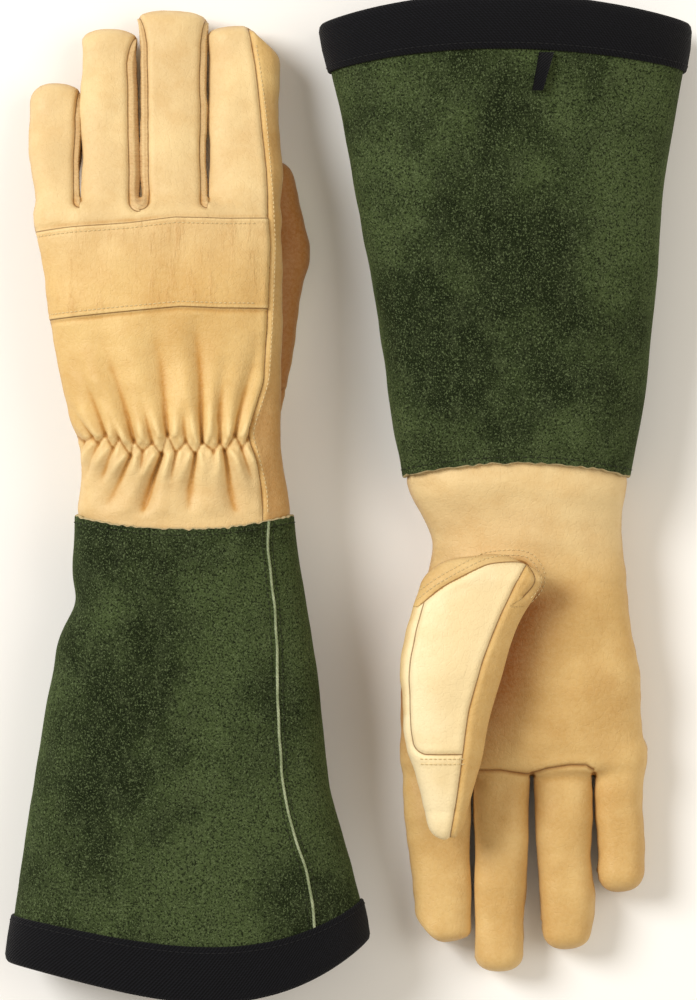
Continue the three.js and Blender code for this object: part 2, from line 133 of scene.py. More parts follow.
# Folds that run out of the pinches: x on the elastic, x at the far end, length (towards the
# fingers above 0), depth, width on the elastic and at the far end.
FOLDS = (
    (-38.7, -46, 14, 0.9, 0.8, 2.2), (-33, -50, 46, 1.8, 1.1, 6.0), (-26.9, -36, 24, 1.0, 0.9, 3.0),
    (-20.8, -37, 54, 2.4, 1.2, 6.5), (-12.9, -19, 24, 1.3, 0.9, 3.4), (-6.5, -12, 52, 2.2, 1.2, 6.0),
    (1.4, 0, 14, 1.0, 0.8, 2.4), (8.2, 6.5, 54, 2.5, 0.8, 4.2), (15.8, 17, 36, 1.6, 1.0, 4.0),
    (22.2, 33, 44, 1.9, 1.1, 4.6), (27.6, 34, 18, 1.0, 0.8, 2.6),
    (-42.5, -43, -12, 0.9, 0.8, 2.2), (-36.2, -42, -16, 1.1, 0.8, 2.4), (-29.8, -37, -20, 1.2, 0.9, 3.0),
    (-22.2, -34, -26, 1.8, 0.9, 4.0), (-16.9, -18, -9, 1.0, 0.7, 1.6), (-9, -24, -42, 2.9, 1.2, 4.0),
    (-2.9, -5, -12, 1.0, 0.7, 1.6), (5.4, 2, -28, 2.1, 0.9, 3.6), (13.2, 13, -9, 0.9, 0.7, 1.5),
    (17.9, 25, -40, 2.5, 1.1, 4.6), (25.1, 29, -16, 1.1, 0.8, 2.4),
)

# The seams whose lines the leather's paint draws.
SEAM_FIELDS = ("fork", "back", "base", "patch", "across", "arch", "band_edge")

# The cuff.
HEM = -188.0
HEM_START = -110.0  # the hem's curve fades out here
# The hem hangs down by this sum of powers of the place across it, -1 at its outer corner.
HEM_CURVE = {"left": (13.6, 5.9, -19.4, -10.2), "right": (12.0, 1.0, -10.7, -1.0)}
TUCK = {"left": 1.0, "right": 0.0}  # a dent of the outer side near the wrist
FOLD_SEED = {"left": 21, "right": 37}
SUEDE_THICK = 1.9
EDGE_BOW = 5.5  # how far the edge at the wrist dips in its middle
TAPE_HIGH = 18.5
ROUND = 320  # points round the cuff
LOOP_WIDE = 6.5
LOOP_LEAN = 4.0  # how far the loop's end hangs to one side
LOOP_THICK = 0.55
LOOP_ROOT = 0.7  # keeps the loop clear of the binding when it swings
CUFF_PITCH = 2.9
LAP_LINE = ((-176, 56.0), (-147, 51.2), (-133, 46.6), (-119, 43.4), (-76, 40.4), (-33, 38.7), (4, 36.9))


# ---- the frame, in a glove's own frame

def joint(name):
    """The frame's record of this joint."""
    return next(j for j in frame["joints"] if j["name"] == name)


def to_local(side, points):
    """World metres in a glove's own millimetres."""
    origin = np.array(joint(side + "_wrist_bend")["pos_m"])
    return TURN[side] * (np.asarray(points, float) - origin) / MM


def to_world(side, points):
    """A glove's own millimetres in world metres."""
    origin = np.array(joint(side + "_wrist_bend")["pos_m"])
    return origin + TURN[side] * np.asarray(points, float) * MM


def edges(side, names):
    """Every edge of these CAD nodes, as two arrays of end points."""
    starts, ends = [], []
    for name in names:
        mesh = frame["nodes"][f"{side}_{name}"].data
        points = np.empty(len(mesh.vertices) * 3)
        mesh.vertices.foreach_get("co", points)
        points = to_local(side, points.reshape(-1, 3))
        pairs = np.empty(len(mesh.edges) * 2, int)
        mesh.edges.foreach_get("vertices", pairs)
        pairs = pairs.reshape(-1, 2)
        starts.append(points[pairs[:, 0]])
        ends.append(points[pairs[:, 1]])
    return np.concatenate(starts), np.concatenate(ends)


def slice_at(lines, y):
    """[low x, high x, low z, high z] of the solids at y."""
    a, b = lines
    crosses = (a[:, 1] - y) * (b[:, 1] - y) < 0
    a, b = a[crosses], b[crosses]
    t = ((y - a[:, 1]) / (b[:, 1] - a[:, 1]))[:, None]
    p = a + t * (b - a)
    return [p[:, 0].min(), p[:, 0].max(), p[:, 2].min(), p[:, 2].max()]


def smooth_table(ys, values, width):
    """A function of y through these values, smoothed over a width in mm."""
    ys, values = np.asarray(ys, float), np.asarray(values, float)
    fine = np.arange(ys[0], ys[-1] + 0.5, 0.5)
    line = np.interp(fine, ys, values)
    reach = int(3 * width)
    kernel = np.exp(-0.5 * (np.arange(-reach, reach + 1) * 0.5 / (width / 2)) ** 2)
    padded = np.pad(line, reach, mode="reflect", reflect_type="odd")
    soft = np.convolve(padded, kernel / kernel.sum(), mode="valid")
    return lambda y: np.interp(y, fine, soft)


def table(points, width):
    """A function through pairs of numbers, smoothed over a width in mm."""
    return smooth_table(*zip(*points), width)


class Tube:
    """Centre, half width, middle height and half thickness along y."""

    def __init__(self, ys, rows, width=6.0):
        rows = np.asarray(rows, float)
        self.centre = smooth_table(ys, rows[:, :2].mean(1), width)
        self.wide = smooth_table(ys, (rows[:, 1] - rows[:, 0]) / 2, width)
        self.middle = smooth_table(ys, rows[:, 2:].mean(1), width)
        self.tall = smooth_table(ys, (rows[:, 3] - rows[:, 2]) / 2, width)


def hand_tube(side):
    """The hand's tube, from the wrist to the roots of the fingers."""
    both = edges(side, ["back_panel", "palm_panel"])
    ys = np.arange(WRIST_END, root_of(side) - 0.5, 3.0)
    rows = np.array([slice_at(both, y) for y in ys])
    # The thumb's mouth hangs below the palm, so the palm is followed on either side of it.
    mouth = np.flatnonzero((ys > THUMB_MOUTH[0]) & (ys < THUMB_MOUTH[1]))
    beside = [mouth[0] - 1, mouth[-1] + 1]
    rows[mouth, 2] = np.interp(ys[mouth], ys[beside], rows[beside, 2])
    # At the wrist the leather flares out to meet the inside of the cuff.
    cuff = slice_at(edges(side, ["cuff_sleeve"]), CUFF_EDGE - 1)
    inner = np.array(cuff) + [2.0, -2.0, 2.0, -2.0]
    share = ease((24 - ys) / 20)[:, None]
    return Tube(ys, rows * (1 - share) + inner * share)


def root_of(side):
    """Where the fingers leave the hand."""
    low, high = [to_local(side, p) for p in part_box(f"{side}_index_middle_fork")]
    return min(low[1], high[1]) + 1.4


def finger_tube(side, name):
    """The finger's tube and its tip."""
    lines = edges(side, [f"{name}_{part}" for part in ("back", "front", *STRIPS[name])])
    bend = to_local(side, joint(f"{side}_{name}_bend")["pos_m"])[1]
    tip = max(to_local(side, p)[1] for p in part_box(f"{side}_{name}_back"))
    pair = next(pair for pair in GAPS if name in pair)
    root = root_of(side)
    ys = [root - 25, root, bend + 9, (bend + tip) / 2, tip - 13, tip + 2]
    near, middle, far = (np.array(slice_at(lines, y)) for y in ys[2:5])
    slope = (near[:2] - far[:2]) / (ys[2] - ys[4])
    height = np.mean(slice_at(edges(side, ["_".join(pair) + "_fork"]), root + 2)[2:])
    tall = (near[3] - near[2]) / 2
    roots = [[*(near[:2] + slope * (y - ys[2])), height - tall, height + tall] for y in ys[:2]]
    after = [*(far[:2] + slope * 15), *(far[2:] + 0.35 * (far[2] - middle[2]))]
    outer, inner = SWELL[side][name]
    rows = np.array([*roots, near, middle, far, after])
    rows += np.outer(SWELL_SHARES, [-outer, inner, 0, 0])
    if name == "little":
        rows[:2, 0] += LITTLE_ROOT[side]
    return Tube(ys, rows), tip


def thumb_tube(side):
    """The thumb's tube, its start in the palm and its tip."""
    lines = edges(side, ["thumb_patch", "thumb_tip", "thumb_strip", "thumb_back"])
    ends = [to_local(side, p)[1] for n in ("thumb_back", "thumb_tip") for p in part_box(f"{side}_{n}")]
    ys = np.linspace(min(ends) + 5.5, max(ends) - 12, 24)
    rows = [slice_at(lines, y) for y in ys]
    return Tube(ys, rows, 8.0), min(ends), max(ends)


# ---- fields

def rounded(grid, tube, start, tip, round_start, round_tip):
    """Signed distance, nearly, to a tube with rounded ends."""
    x, y, z = grid
    rise = 1 / POWER
    ends = np.clip((y - (tip - round_tip)) / round_tip, 0, None)
    begins = np.clip(((start + round_start) - y) / round_start, 0, None)
    wide, tall = tube.wide(y), tube.tall(y)
    u = np.abs(x - tube.centre(y)) / wide
    v = np.abs(z - tube.middle(y)) / tall
    t = np.maximum(ends, begins)
    total = np.maximum(u**POWER + v**POWER + t**POWER, 1e-4)
    size = total**rise
    steep = np.sqrt((u ** (POWER - 1) / wide) ** 2 + (v ** (POWER - 1) / tall) ** 2
                    + (t ** (POWER - 1) / round_tip) ** 2)
    return np.clip((size - 1) / np.maximum(steep * total ** (rise - 1), 1e-3), -FAR, FAR)


def smooth_union(a, b, reach):
    """The union of two fields, with a fillet of this reach."""
    mix = np.clip(reach - np.abs(a - b), 0, None) / np.maximum(reach, 1e-6)
    return np.minimum(a, b) - mix * mix * reach / 4


class Glove:
    """The leather of one glove: its shape as a field, and the lines of its seams."""

    def __init__(self, side):
        self.side = side
        self.root = root_of(side) + CROTCH[side]
        self.hand = hand_tube(side)
        self.fingers = {name: finger_tube(side, name) for name in FINGERS}
        self.thumb, self.thumb_start, self.thumb_end = thumb_tube(side)

    def gap(self, pair, y):
        """x of the middle of the slit between two fingers."""
        near, far = [self.fingers[name][0] for name in pair]
        return (near.centre(y) - near.wide(y) + far.centre(y) + far.wide(y)) / 2

    def fields(self, grid):
        """The hand with its fingers, and the thumb."""
        y = grid[1]
        hand = rounded(grid, self.hand, WRIST_END - 30, self.root + 1.5, 1.0, 8.0)
        fingers = None
        gaps = {pair: self.gap(pair, np.maximum(y, self.root)) for pair in GAPS}
        loose = 2 * np.clip(self.root + 4 - y, 0, None)
        for name, (tube, tip) in self.fingers.items():
            one = rounded(grid, tube, self.root - 16, tip, 8.0, TIP_ROUND[name])
            if name == "index":
                corner = (grid[0] - tube.centre(tip) + y - tip - INDEX_CORNER) / math.sqrt(2)
                one = -smooth_union(-one, -corner, 2.0)
            for pair, gap in gaps.items():
                if name in pair:
                    beyond = gap - grid[0] if name == pair[0] else grid[0] - gap
                    one = np.maximum(one, beyond - loose)
            fingers = one if fingers is None else np.minimum(fingers, one)
        hand = smooth_union(hand, fingers, 4.0)
        for gap in gaps.values():
            across = np.abs(grid[0] - gap)
            slit = SLIT[self.side] - np.hypot(across, np.clip(self.root + 1.5 - y, 0, None))
            hand = np.maximum(hand, slit)
        thumb = rounded(grid, self.thumb, self.thumb_start - 4, self.thumb_end, 16.0, 16.0)
        apart = np.maximum(thumb, 1.5 - hand)
        free = np.clip((y - THUMB_FREE) / 3, 0, 1)
        return hand, thumb * (1 - free) + apart * free

    def whole(self, hand, thumb, y):
        """Hand and thumb in one field, joined with a fillet where the thumb leaves the palm."""
        reach = 13.0 * np.clip((THUMB_FREE + 1 - y) / 14, 0, 1)
        return smooth_union(hand, thumb, reach)


def mesh_of(glove):
    """Points and quads of the glove's surface."""
    tip = max(tip for _, tip in glove.fingers.values())
    low = np.array([LEATHER_LOW[0], WRIST_END - 4, LEATHER_LOW[1]])
    high = np.array([LEATHER_HIGH[0], tip + 4, LEATHER_HIGH[1]])
    counts = np.ceil((high - low) / VOXEL).astype(int)
    axes = [low[i] + VOXEL * np.arange(counts[i]) for i in range(3)]
    grid = (axes[0][:, None, None], axes[1][None, :, None], axes[2][None, None, :])
    hand, thumb = glove.fields(grid)
    whole = np.broadcast_to(glove.whole(hand, thumb, grid[1]), counts).astype(np.float32)
    volume = openvdb.FloatGrid(FAR)
    volume.copyFromArray(np.ascontiguousarray(whole))
    points, quads = volume.convertToQuads(0.0)
    points = low + points.astype(float) * VOXEL
    centre = points[quads].mean(1)
    quads = quads[centre[:, 1] > WRIST_END]
    used, inverse = np.unique(quads, return_inverse=True)
    return points[used], inverse.reshape(-1, 4)


# ---- mesh arithmetic

def normals_of(points, quads):
    """The surface's normal at each point."""
    a = points[quads[:, 2]] - points[quads[:, 0]]
    b = points[quads[:, 3]] - points[quads[:, 1]]
    flat = np.cross(a, b)
    total = np.zeros_like(points)
    for i in range(4):
        for axis in range(3):
            total[:, axis] += np.bincount(quads[:, i], flat[:, axis], len(points))
    return total / np.maximum(np.linalg.norm(total, axis=1, keepdims=True), 1e-9)


class Relax:
    """Averages values over neighbouring points."""

    def __init__(self, quads, count):
        pairs = np.concatenate([quads[:, [i, (i + 1) % 4]] for i in range(4)])
        pairs = np.unique(np.sort(pairs, axis=1), axis=0)
        self.a = np.concatenate([pairs[:, 0], pairs[:, 1]])
        self.b = np.concatenate([pairs[:, 1], pairs[:, 0]])
        self.count = count
        self.share = 1 / np.maximum(np.bincount(self.a, minlength=count), 1)

    def __call__(self, values, times, strength=0.6):
        values = values.copy()
        for _ in range(times):
            mean = np.stack([np.bincount(self.a, v[self.b], self.count) * self.share for v in values.T], 1)
            values += strength * (mean - values)
        return values


def noise(points, size, seed):
    """A smooth random field of about this feature size, mostly from -1 to 1."""
    rng = np.random.default_rng(seed)
    total = np.zeros(len(points))
    for _ in range(NOISE_WAVES):
        way = rng.normal(size=3)
        way *= (0.6 + 0.9 * rng.random()) / np.linalg.norm(way)
        total += np.sin(points @ way * (math.tau / size) + math.tau * rng.random())
    return total / math.sqrt(NOISE_WAVES)


def bell(value, width):
    """1 at 0, falling smoothly to 0 over about twice the width."""
    return np.exp(-((value / width) ** 2))


def ease(value):
    """A smooth step from 0 to 1."""
    value = np.clip(value, 0, 1)
    return value * value * (3 - 2 * value)


def running_length(line):
    """How far along a line of points each of them is."""
    return np.concatenate([[0], np.cumsum(np.linalg.norm(np.diff(line, axis=0), axis=1))])


def read_along(spots, reach, values):
    """Rows of values, known at some lengths along a line, read at other lengths."""
    return np.stack([np.interp(spots, reach, column) for column in values.T], 1)


def along(points):
    """A smooth curve through points of the plane, as points 1 mm apart."""
    p = np.array(points, float)
    out = []
    for i in range(len(p) - 1):
        before = p[max(i - 1, 0)]
        after = p[min(i + 2, len(p) - 1)]
        m0, m1 = (p[i + 1] - before) / 2, (after - p[i]) / 2
        for t in np.linspace(0, 1, 12, endpoint=False):
            out.append((2 * t**3 - 3 * t**2 + 1) * p[i] + (t**3 - 2 * t**2 + t) * m0
                       + (3 * t**2 - 2 * t**3) * p[i + 1] + (t**3 - t**2) * m1)
    out.append(p[-1])
    out = np.array(out)
    reach = running_length(out)
    return read_along(np.arange(0, reach[-1], 1.0), reach, out)


def distance_to(curve, x, y):
    """Distance in plan from each point to a curve."""
    best = np.full(len(x), 1e9)
    for a, b in zip(curve[:-1], curve[1:]):
        d = b - a
        t = np.clip(((x - a[0]) * d[0] + (y - a[1]) * d[1]) / (d @ d), 0, 1)
        best = np.minimum(best, (x - a[0] - t * d[0]) ** 2 + (y - a[1] - t * d[1]) ** 2)
    return np.sqrt(best)


def inside(curve, x, y):
    """True where a point of the plane is inside a closed curve."""
    hit = np.zeros(len(x), bool)
    for a, b in zip(curve, np.roll(curve, -1, axis=0)):
        spans = (a[1] > y) != (b[1] > y)
        with np.errstate(divide="ignore", invalid="ignore"):
            where = a[0] + (y - a[1]) * (b[0] - a[0]) / (b[1] - a[1])
        hit ^= spans & (x < where)
    return hit


# ---- the leather's panels

def elastic_line(x):
    """y of the middle of the wrist's elastic."""
    return np.interp(x, *zip(*PINCHES[1::2])) + 2


class Leather:
    """The surface of one glove with its seams, panels and folds."""

    def __init__(self, glove):
        self.glove = glove
        self.points, self.quads = mesh_of(glove)
        self.relax = Relax(self.quads, len(self.points))
        self.points = self.relax(self.points, 3, 0.5)
        self.normals = normals_of(self.points, self.quads)
        self.mark()
        self.shape()
        self.normals = normals_of(self.points, self.quads)
        fine = self.relax(self.points, 6)
        broad = self.relax(fine, 40)
        # hollow and valley: how far a point lies below its smoothed surroundings; the paint turns them into
        # painted shade in creases and folds and painted highlight on crests.
        self.hollow = ((fine - self.points) * self.normals).sum(1)
        self.valley = ((broad - self.points) * self.normals).sum(1)
        self.tree = None

    def mark(self):
        """Which panel each point is on, and how far inside it: each field is 0 on its seam."""
        glove = self.glove
        x, y, z = self.points.T
        self.side_line = table(SIDE_SEAM, 5.0)(y)
        self.steep = np.sqrt(np.clip(1 - self.normals[:, 0] ** 2, 0.06, 1))
        hand, thumb = glove.fields((x, y, z))
        arch = self.mark_thumb(thumb < hand)
        gaps = [glove.gap(pair, np.maximum(y, glove.root)) for pair in GAPS]
        self.mark_fingers(gaps)
        fork = self.mark_forks(gaps)
        back, level = self.mark_back(fork)
        base = self.mark_base(gaps)
        patch, across = self.mark_patch(arch)
        band_edge = self.mark_band()
        seams = {"fork": fork, "back": np.where(self.is_thumb, FAR, back), "base": base, "patch": patch,
                 "across": across, "arch": arch, "band_edge": band_edge}
        self.seams = {key: np.clip(value, -FAR, FAR) for key, value in seams.items()}
        pressed = [np.abs(v) for k, v in self.seams.items() if k not in ("band_edge", "back")]
        on_top = np.where(level > 3, np.abs(self.seams["back"]), FAR)
        self.seam = np.minimum.reduce([*pressed, on_top])
        pinched = distance_to(np.array(PINCHES), x, y)
        on_back = self.is_back & self.upper & ~self.is_thumb
        self.pinch = np.where(on_back, np.clip(pinched, 0, FAR), FAR)
        self.shade(hand - thumb, arch)

    def mark_thumb(self, nearer):
        """The thumb, with the palm inside its arch. Gives the arch's field, positive on the thumb."""
        x, y, z = self.points.T
        middle = self.glove.hand.middle(y)
        curve = along(ARCH)
        mouth = np.concatenate([curve, ARCH_CLOSING])
        free = y > THUMB_FREE - 2
        self.is_thumb = (nearer & free) | (inside(mouth, x, y) & (z < middle - 8) & ~free)
        arch = distance_to(curve, x, y) * np.where(self.is_thumb, 1, -1)
        return np.where((z < middle - 6) & (y < THUMB_FREE + 4), arch, np.where(self.is_thumb, FAR, -FAR))

    def mark_fingers(self, gaps):
        """Each point's finger, counted from the index, and its height over the glove's middle."""
        glove = self.glove
        x, y, z = self.points.T
        fingers = sum((x < gap).astype(int) for gap in gaps)
        self.finger = np.where((y > glove.root) & ~self.is_thumb, fingers, -1)
        middle = np.select([fingers == k for k in range(len(FINGERS))],
                           [glove.fingers[name][0].middle(y) for name in FINGERS])
        blend = ease((y - glove.root + 12) / 12)
        self.height = z - (glove.hand.middle(y) * (1 - blend) + middle * blend)
        self.upper = self.height > 0

    def mark_forks(self, gaps):
        """The strips between the fingers: negative on a strip."""
        x, y, _ = self.points.T
        strips = []
        for gap, pair in zip(gaps, GAPS):
            right = x > gap
            offset = np.where(right, *DORSAL_OFFSET[pair[0]])
            offset = np.where(self.upper, offset, PALMAR_OFFSET)
            tip = np.where(right, *(self.glove.fingers[name][1] for name in pair))
            offset = offset * np.sqrt(np.clip((tip - 3 - y) / 12, 0, 1))
            strips.append(np.hypot(x - gap, np.minimum(y - self.glove.root, 0)) - offset)
        edge = np.where(self.is_thumb, FAR, np.min(strips, 0)) / self.steep
        self.fork = np.where(edge < 0, np.argmin(strips, 0), -1)
        return edge

    def mark_back(self, fork):
        """The back panel: positive inside it. Its outer seam runs along the side of the hand."""
        level = np.where(fork < 0.5, FAR * np.sign(self.height), self.height)
        edge = np.minimum((self.side_line - self.points[:, 0]) / self.steep, level)
        self.is_back = edge > 0
        return edge, level

    def mark_base(self, gaps):
        """The front of the two middle fingers: positive beyond its seam."""
        x, y, _ = self.points.T
        below = (x > gaps[2] - 0.5) & (x < gaps[0] + 0.5) & ~self.upper & ~self.is_thumb
        edge = np.where(below, y - np.interp(x, *zip(*BASE_SEAM)), -FAR)
        self.is_base = edge > 0
        return edge

    def mark_patch(self, arch):
        """The thumb's patch, tip and strip. Gives the patch's field and that of the seams across."""
        x, y, z = self.points.T
        tube = self.glove.thumb
        lower = z < tube.middle(y) + 2
        on_face = self.is_thumb & lower
        beside_seam = x - table(STRIP_SEAM, 8.0)(y)
        from_edge = 0.86 * tube.wide(y) + tube.centre(y) - x
        from_tip = THUMB_TIP_SEAM - y
        corner = PATCH_ROUND - np.hypot(PATCH_ROUND - from_edge, PATCH_ROUND - from_tip)
        rounding = np.maximum(from_edge, from_tip) < PATCH_ROUND
        outline = np.where(rounding, corner, np.minimum(from_edge, from_tip))
        edge = from_edge + FAR * ease((PATCH_ROUND + 2 - from_tip) / 4)
        self.strip = lower & (beside_seam <= 0)
        self.patch = on_face & (np.minimum(beside_seam, edge) > 0)
        self.thumb_far = from_tip < 0
        patch = np.where(on_face, beside_seam / self.steep, FAR)
        spread = 0.12 * (from_edge + 2 + 20 * ease((18 - from_tip) / 18))
        pale = np.where(on_face, np.minimum.reduce([patch, spread, arch]), -FAR)
        self.pale = np.clip(pale, -5, 5)
        return patch, np.where(on_face & (beside_seam > 0), outline, FAR)

    def mark_band(self):
        """The knuckle band: positive on it."""
        x, y, _ = self.points.T
        low, high = np.interp(x, *zip(*BAND_LOW)), np.interp(x, *zip(*BAND_TOP))
        self.band = np.minimum(y - low, high - y)
        edge = np.where(self.is_back & ~self.is_thumb, self.band, -FAR)
        self.on_band = (edge > -0.8) & self.is_back
        return edge

    def shade(self, over_thumb, arch):
        """How deep the leather's colour is: painted shade on the strips between the fingers, on the index
        side, on the sides, on the thumb and beside it, with a slightly darker tone on the palm; and how worn
        it is.
        """
        hand, thumb = self.glove.hand, self.glove.thumb
        x, y, z = self.points.T
        palm = ~self.upper
        strip = ease(-self.seams["fork"] / 1.2)
        self.strips = strip * (self.fork >= 0)
        # Painted shade on the strips between the fingers, deeper on the palm side.
        between = strip * np.where(palm, 0.75, 0.34)
        # Painted shade on the leather beyond the side seam, on the index side.
        index_side_shade = ease((x - self.side_line) / 3) * self.upper * ease((SIDE_SEAM[-1][0] - 22 - y) / 14)
        index_side_shade *= 0.3 + 0.16 * ease((80 - y) / 40)
        # Painted shade on the thumb's upper half, and on the hand where it meets the thumb.
        thumb_upper_shade = 0.85 * ease((z - thumb.middle(y) + 2) / 5)
        thumb_root_shade = thumb_upper_shade * ease((over_thumb + 1) / 3) * ease((y - 30) / 30)
        # Painted shadow of the thumb on the palm beside it.
        beside = np.clip(thumb.centre(y) - thumb.wide(y) - x - 1, 0, None)
        dark = 0.95 * bell(beside, 15) * ease((y - 44) / 16) * ease((142 - y) / 55) * palm
        dark *= ease((z - hand.middle(y) + hand.tall(y) + 3) / 2)
        # Painted shade where the surface turns to the side, kept off the thumb's arch.
        sides = 0.46 * ease((0.55 - np.abs(self.normals[:, 2])) / 0.5) * (1 - bell(arch, 9))
        tan = 0.09 * ease((y - 50) / 40) * palm
        # The hand's painted shade, with the palm's darker tone.
        hand_shade_and_tone = np.maximum.reduce([between, index_side_shade, dark, sides, tan, thumb_root_shade])
        self.deep = np.where(self.is_thumb, thumb_upper_shade, hand_shade_and_tone)
        # The fingers' backs and the wrist are paler.
        over = 0.28 * ease((y - 95) / 45) + 0.22 * ease((50 - y) / 30)
        under = 0.26 * ease((60 - y) / 40) * ~self.is_thumb * palm
        self.worn = np.where(self.is_back & self.upper, over, under)

    def shape(self):
        """Seams, gathers and creases pressed into the surface."""
        y = self.points[:, 1]
        groove = -0.7 * bell(self.seam, 1.0) + 0.25 * bell(self.seam - 2.6, 1.7)
        piping = 0.3 * self.strips * bell(self.seam - 2.0, 1.0)
        waves = 0.5 * noise(self.points, 38, 3) + 0.16 * noise(self.points, 14, 4)
        drawn_in = 0.6 * ease((6 - y) / 6)  # under the edge of the cuff
        lift = (groove + piping + self.gathers() + waves) * ease((y + 1) / 9) - drawn_in
        lift += BAND_THICK * ease((self.band + 0.8) / 1.6) * self.on_band * ease(self.height / 7)
        band_seams = 0.35 * bell(self.band + 1.2, 1.0) + 0.22 * bell(self.band - 2.3, 0.8)
        lift -= band_seams * (self.is_back & ~self.is_thumb)
        moved = self.points + self.normals * lift[:, None]
        self.points = self.relax(moved, 1, 0.3)

    def gathers(self):
        """Pinches of the wrist's elastic on the back, with folds fanning out of them."""
        x, y, _ = self.points.T
        total = np.zeros(len(x))
        for start, end, length, depth, narrow, wide in FOLDS:
            far = (y - np.interp(start, *zip(*PINCHES))) * np.sign(length)
            t = far / abs(length)
            share = np.clip(t, 0, 1)
            bow = np.sin(far / 9 + 3 * start) * share
            off = np.abs(x - (start + (end - start) * share + bow))
            width = narrow + (wide - narrow) * share**0.8
            fade = depth * np.where(far > 0, (1 - share) ** 0.65, ease(1 + far / 2.0)) * (t < 1)
            total -= 1.4 * fade * np.exp(-((off / width) ** (1.35 + 0.55 * share)))
            total += 0.5 * fade * bell(off - 2.4 * width, 1.3 * width)
        total += 1.3 * bell(np.abs(y - elastic_line(x)) - 7, 6) - 0.7 * bell(self.pinch, 0.9)
        on_back = ease(self.height / 7) * self.is_back * ~self.is_thumb
        return total * on_back * ease((y - 0.5) / 5)

    def surface(self):
        """The surface as a tree that rays can be shot at."""
        if self.tree is None:
            self.tree = BVHTree.FromPolygons(self.points.tolist(), self.quads.tolist())
        return self.tree

    def drop(self, x, y, way):
        """The surface's point and normal under (way -1) or over (way 1) a spot in plan."""
        start = Vector((x, y, 60.0 * -way))
        return self.surface().ray_cast(start, Vector((0, 0, way)))[:2]


# ---- making pieces

def build(name, points, faces, material, normals=None, values=None):
    """A mesh object from arrays in world metres, with per-point values as attributes."""
    faces = np.asarray(faces, np.int32)
    sides = faces.shape[1]
    mesh = bpy.data.meshes.new(name)
    mesh.vertices.add(len(points))
    mesh.vertices.foreach_set("co", np.asarray(points, np.float32).ravel())
    mesh.loops.add(faces.size)
    mesh.loops.foreach_set("vertex_index", faces.ravel())
    mesh.polygons.add(len(faces))
    mesh.polygons.foreach_set("loop_start", np.arange(0, faces.size, sides, dtype=np.int32))
    mesh.polygons.foreach_set("use_smooth", np.full(len(faces), True))
    mesh.update(calc_edges=True)
    for key, value in (values or {}).items():
        value = np.asarray(value, np.float32)
        kind = "FLOAT_VECTOR" if value.ndim == 2 else "FLOAT"
        layer = mesh.attributes.new(key, kind, "POINT")
        layer.data.foreach_set("vector" if value.ndim == 2 else "value", value.ravel())
    mesh.materials.append(material)
    if normals is not None:
        mesh.normals_split_custom_set_from_vertices(np.asarray(normals, np.float32))
    made = bpy.data.objects.new(name, mesh)
    bpy.context.scene.collection.objects.link(made)
    return made


def part_of(side, name, points, faces, material, normals=None, values=None):
    """A glove's piece from points in the glove frame."""
    values = {"rest": points, **(values or {})}
    if TURN[side] < 0:
        faces = np.asarray(faces)[:, ::-1]
        normals = None if normals is None else -normals
    places = to_world(side, points)
    places[:, 2] = np.maximum(places[:, 2], GROUND)
    return build(f"{side}_{name}", places, faces, material, normals, values)


def grid_faces(rows, columns, rows_closed=False):
    """Quads of a grid of points, its columns joined round, and its rows too when they are closed."""
    r = np.arange(rows if rows_closed else rows - 1)[:, None]
    c = np.arange(columns)[None, :]
    below, after = (r + 1) % rows, (c + 1) % columns
    corners = [r * columns + c, r * columns + after, below * columns + after, below * columns + c]
    return np.stack([corner.ravel() for corner in corners], 1)


def capsules(centres, ways, ups, length):
    """A small rounded thread along each way, as points and faces."""
    turn = np.arange(THREAD_SIDES) * math.tau / THREAD_SIDES
    ring = np.array([[at * length, r * THREAD_RADIUS * math.cos(t), r * THREAD_RADIUS * math.sin(t)]
                     for at, r in THREAD_PROFILE for t in turn])
    faces = grid_faces(len(THREAD_PROFILE), THREAD_SIDES)
    ways = ways / np.linalg.norm(ways, axis=1, keepdims=True)
    sides = np.cross(ups, ways)
    sides /= np.maximum(np.linalg.norm(sides, axis=1, keepdims=True), 1e-9)
    ups = np.cross(ways, sides)
    points = (centres[:, None] + ring[None, :, :1] * ways[:, None] + ring[None, :, 1:2] * sides[:, None]
              + ring[None, :, 2:] * ups[:, None])
    offset = np.arange(len(centres))[:, None, None] * len(ring)
    return points.reshape(-1, 3), (faces[None] + offset).reshape(-1, 4)


def thread_piece(side, name, rows, length, paint):
    """Rows of stitches, each row given by its centres, ways and ups, as one piece."""
    centres, ways, ups = (np.concatenate(values) for values in zip(*rows))
    return part_of(side, name, *capsules(centres, ways, ups, length), PAINTS[paint])


# ---- materials

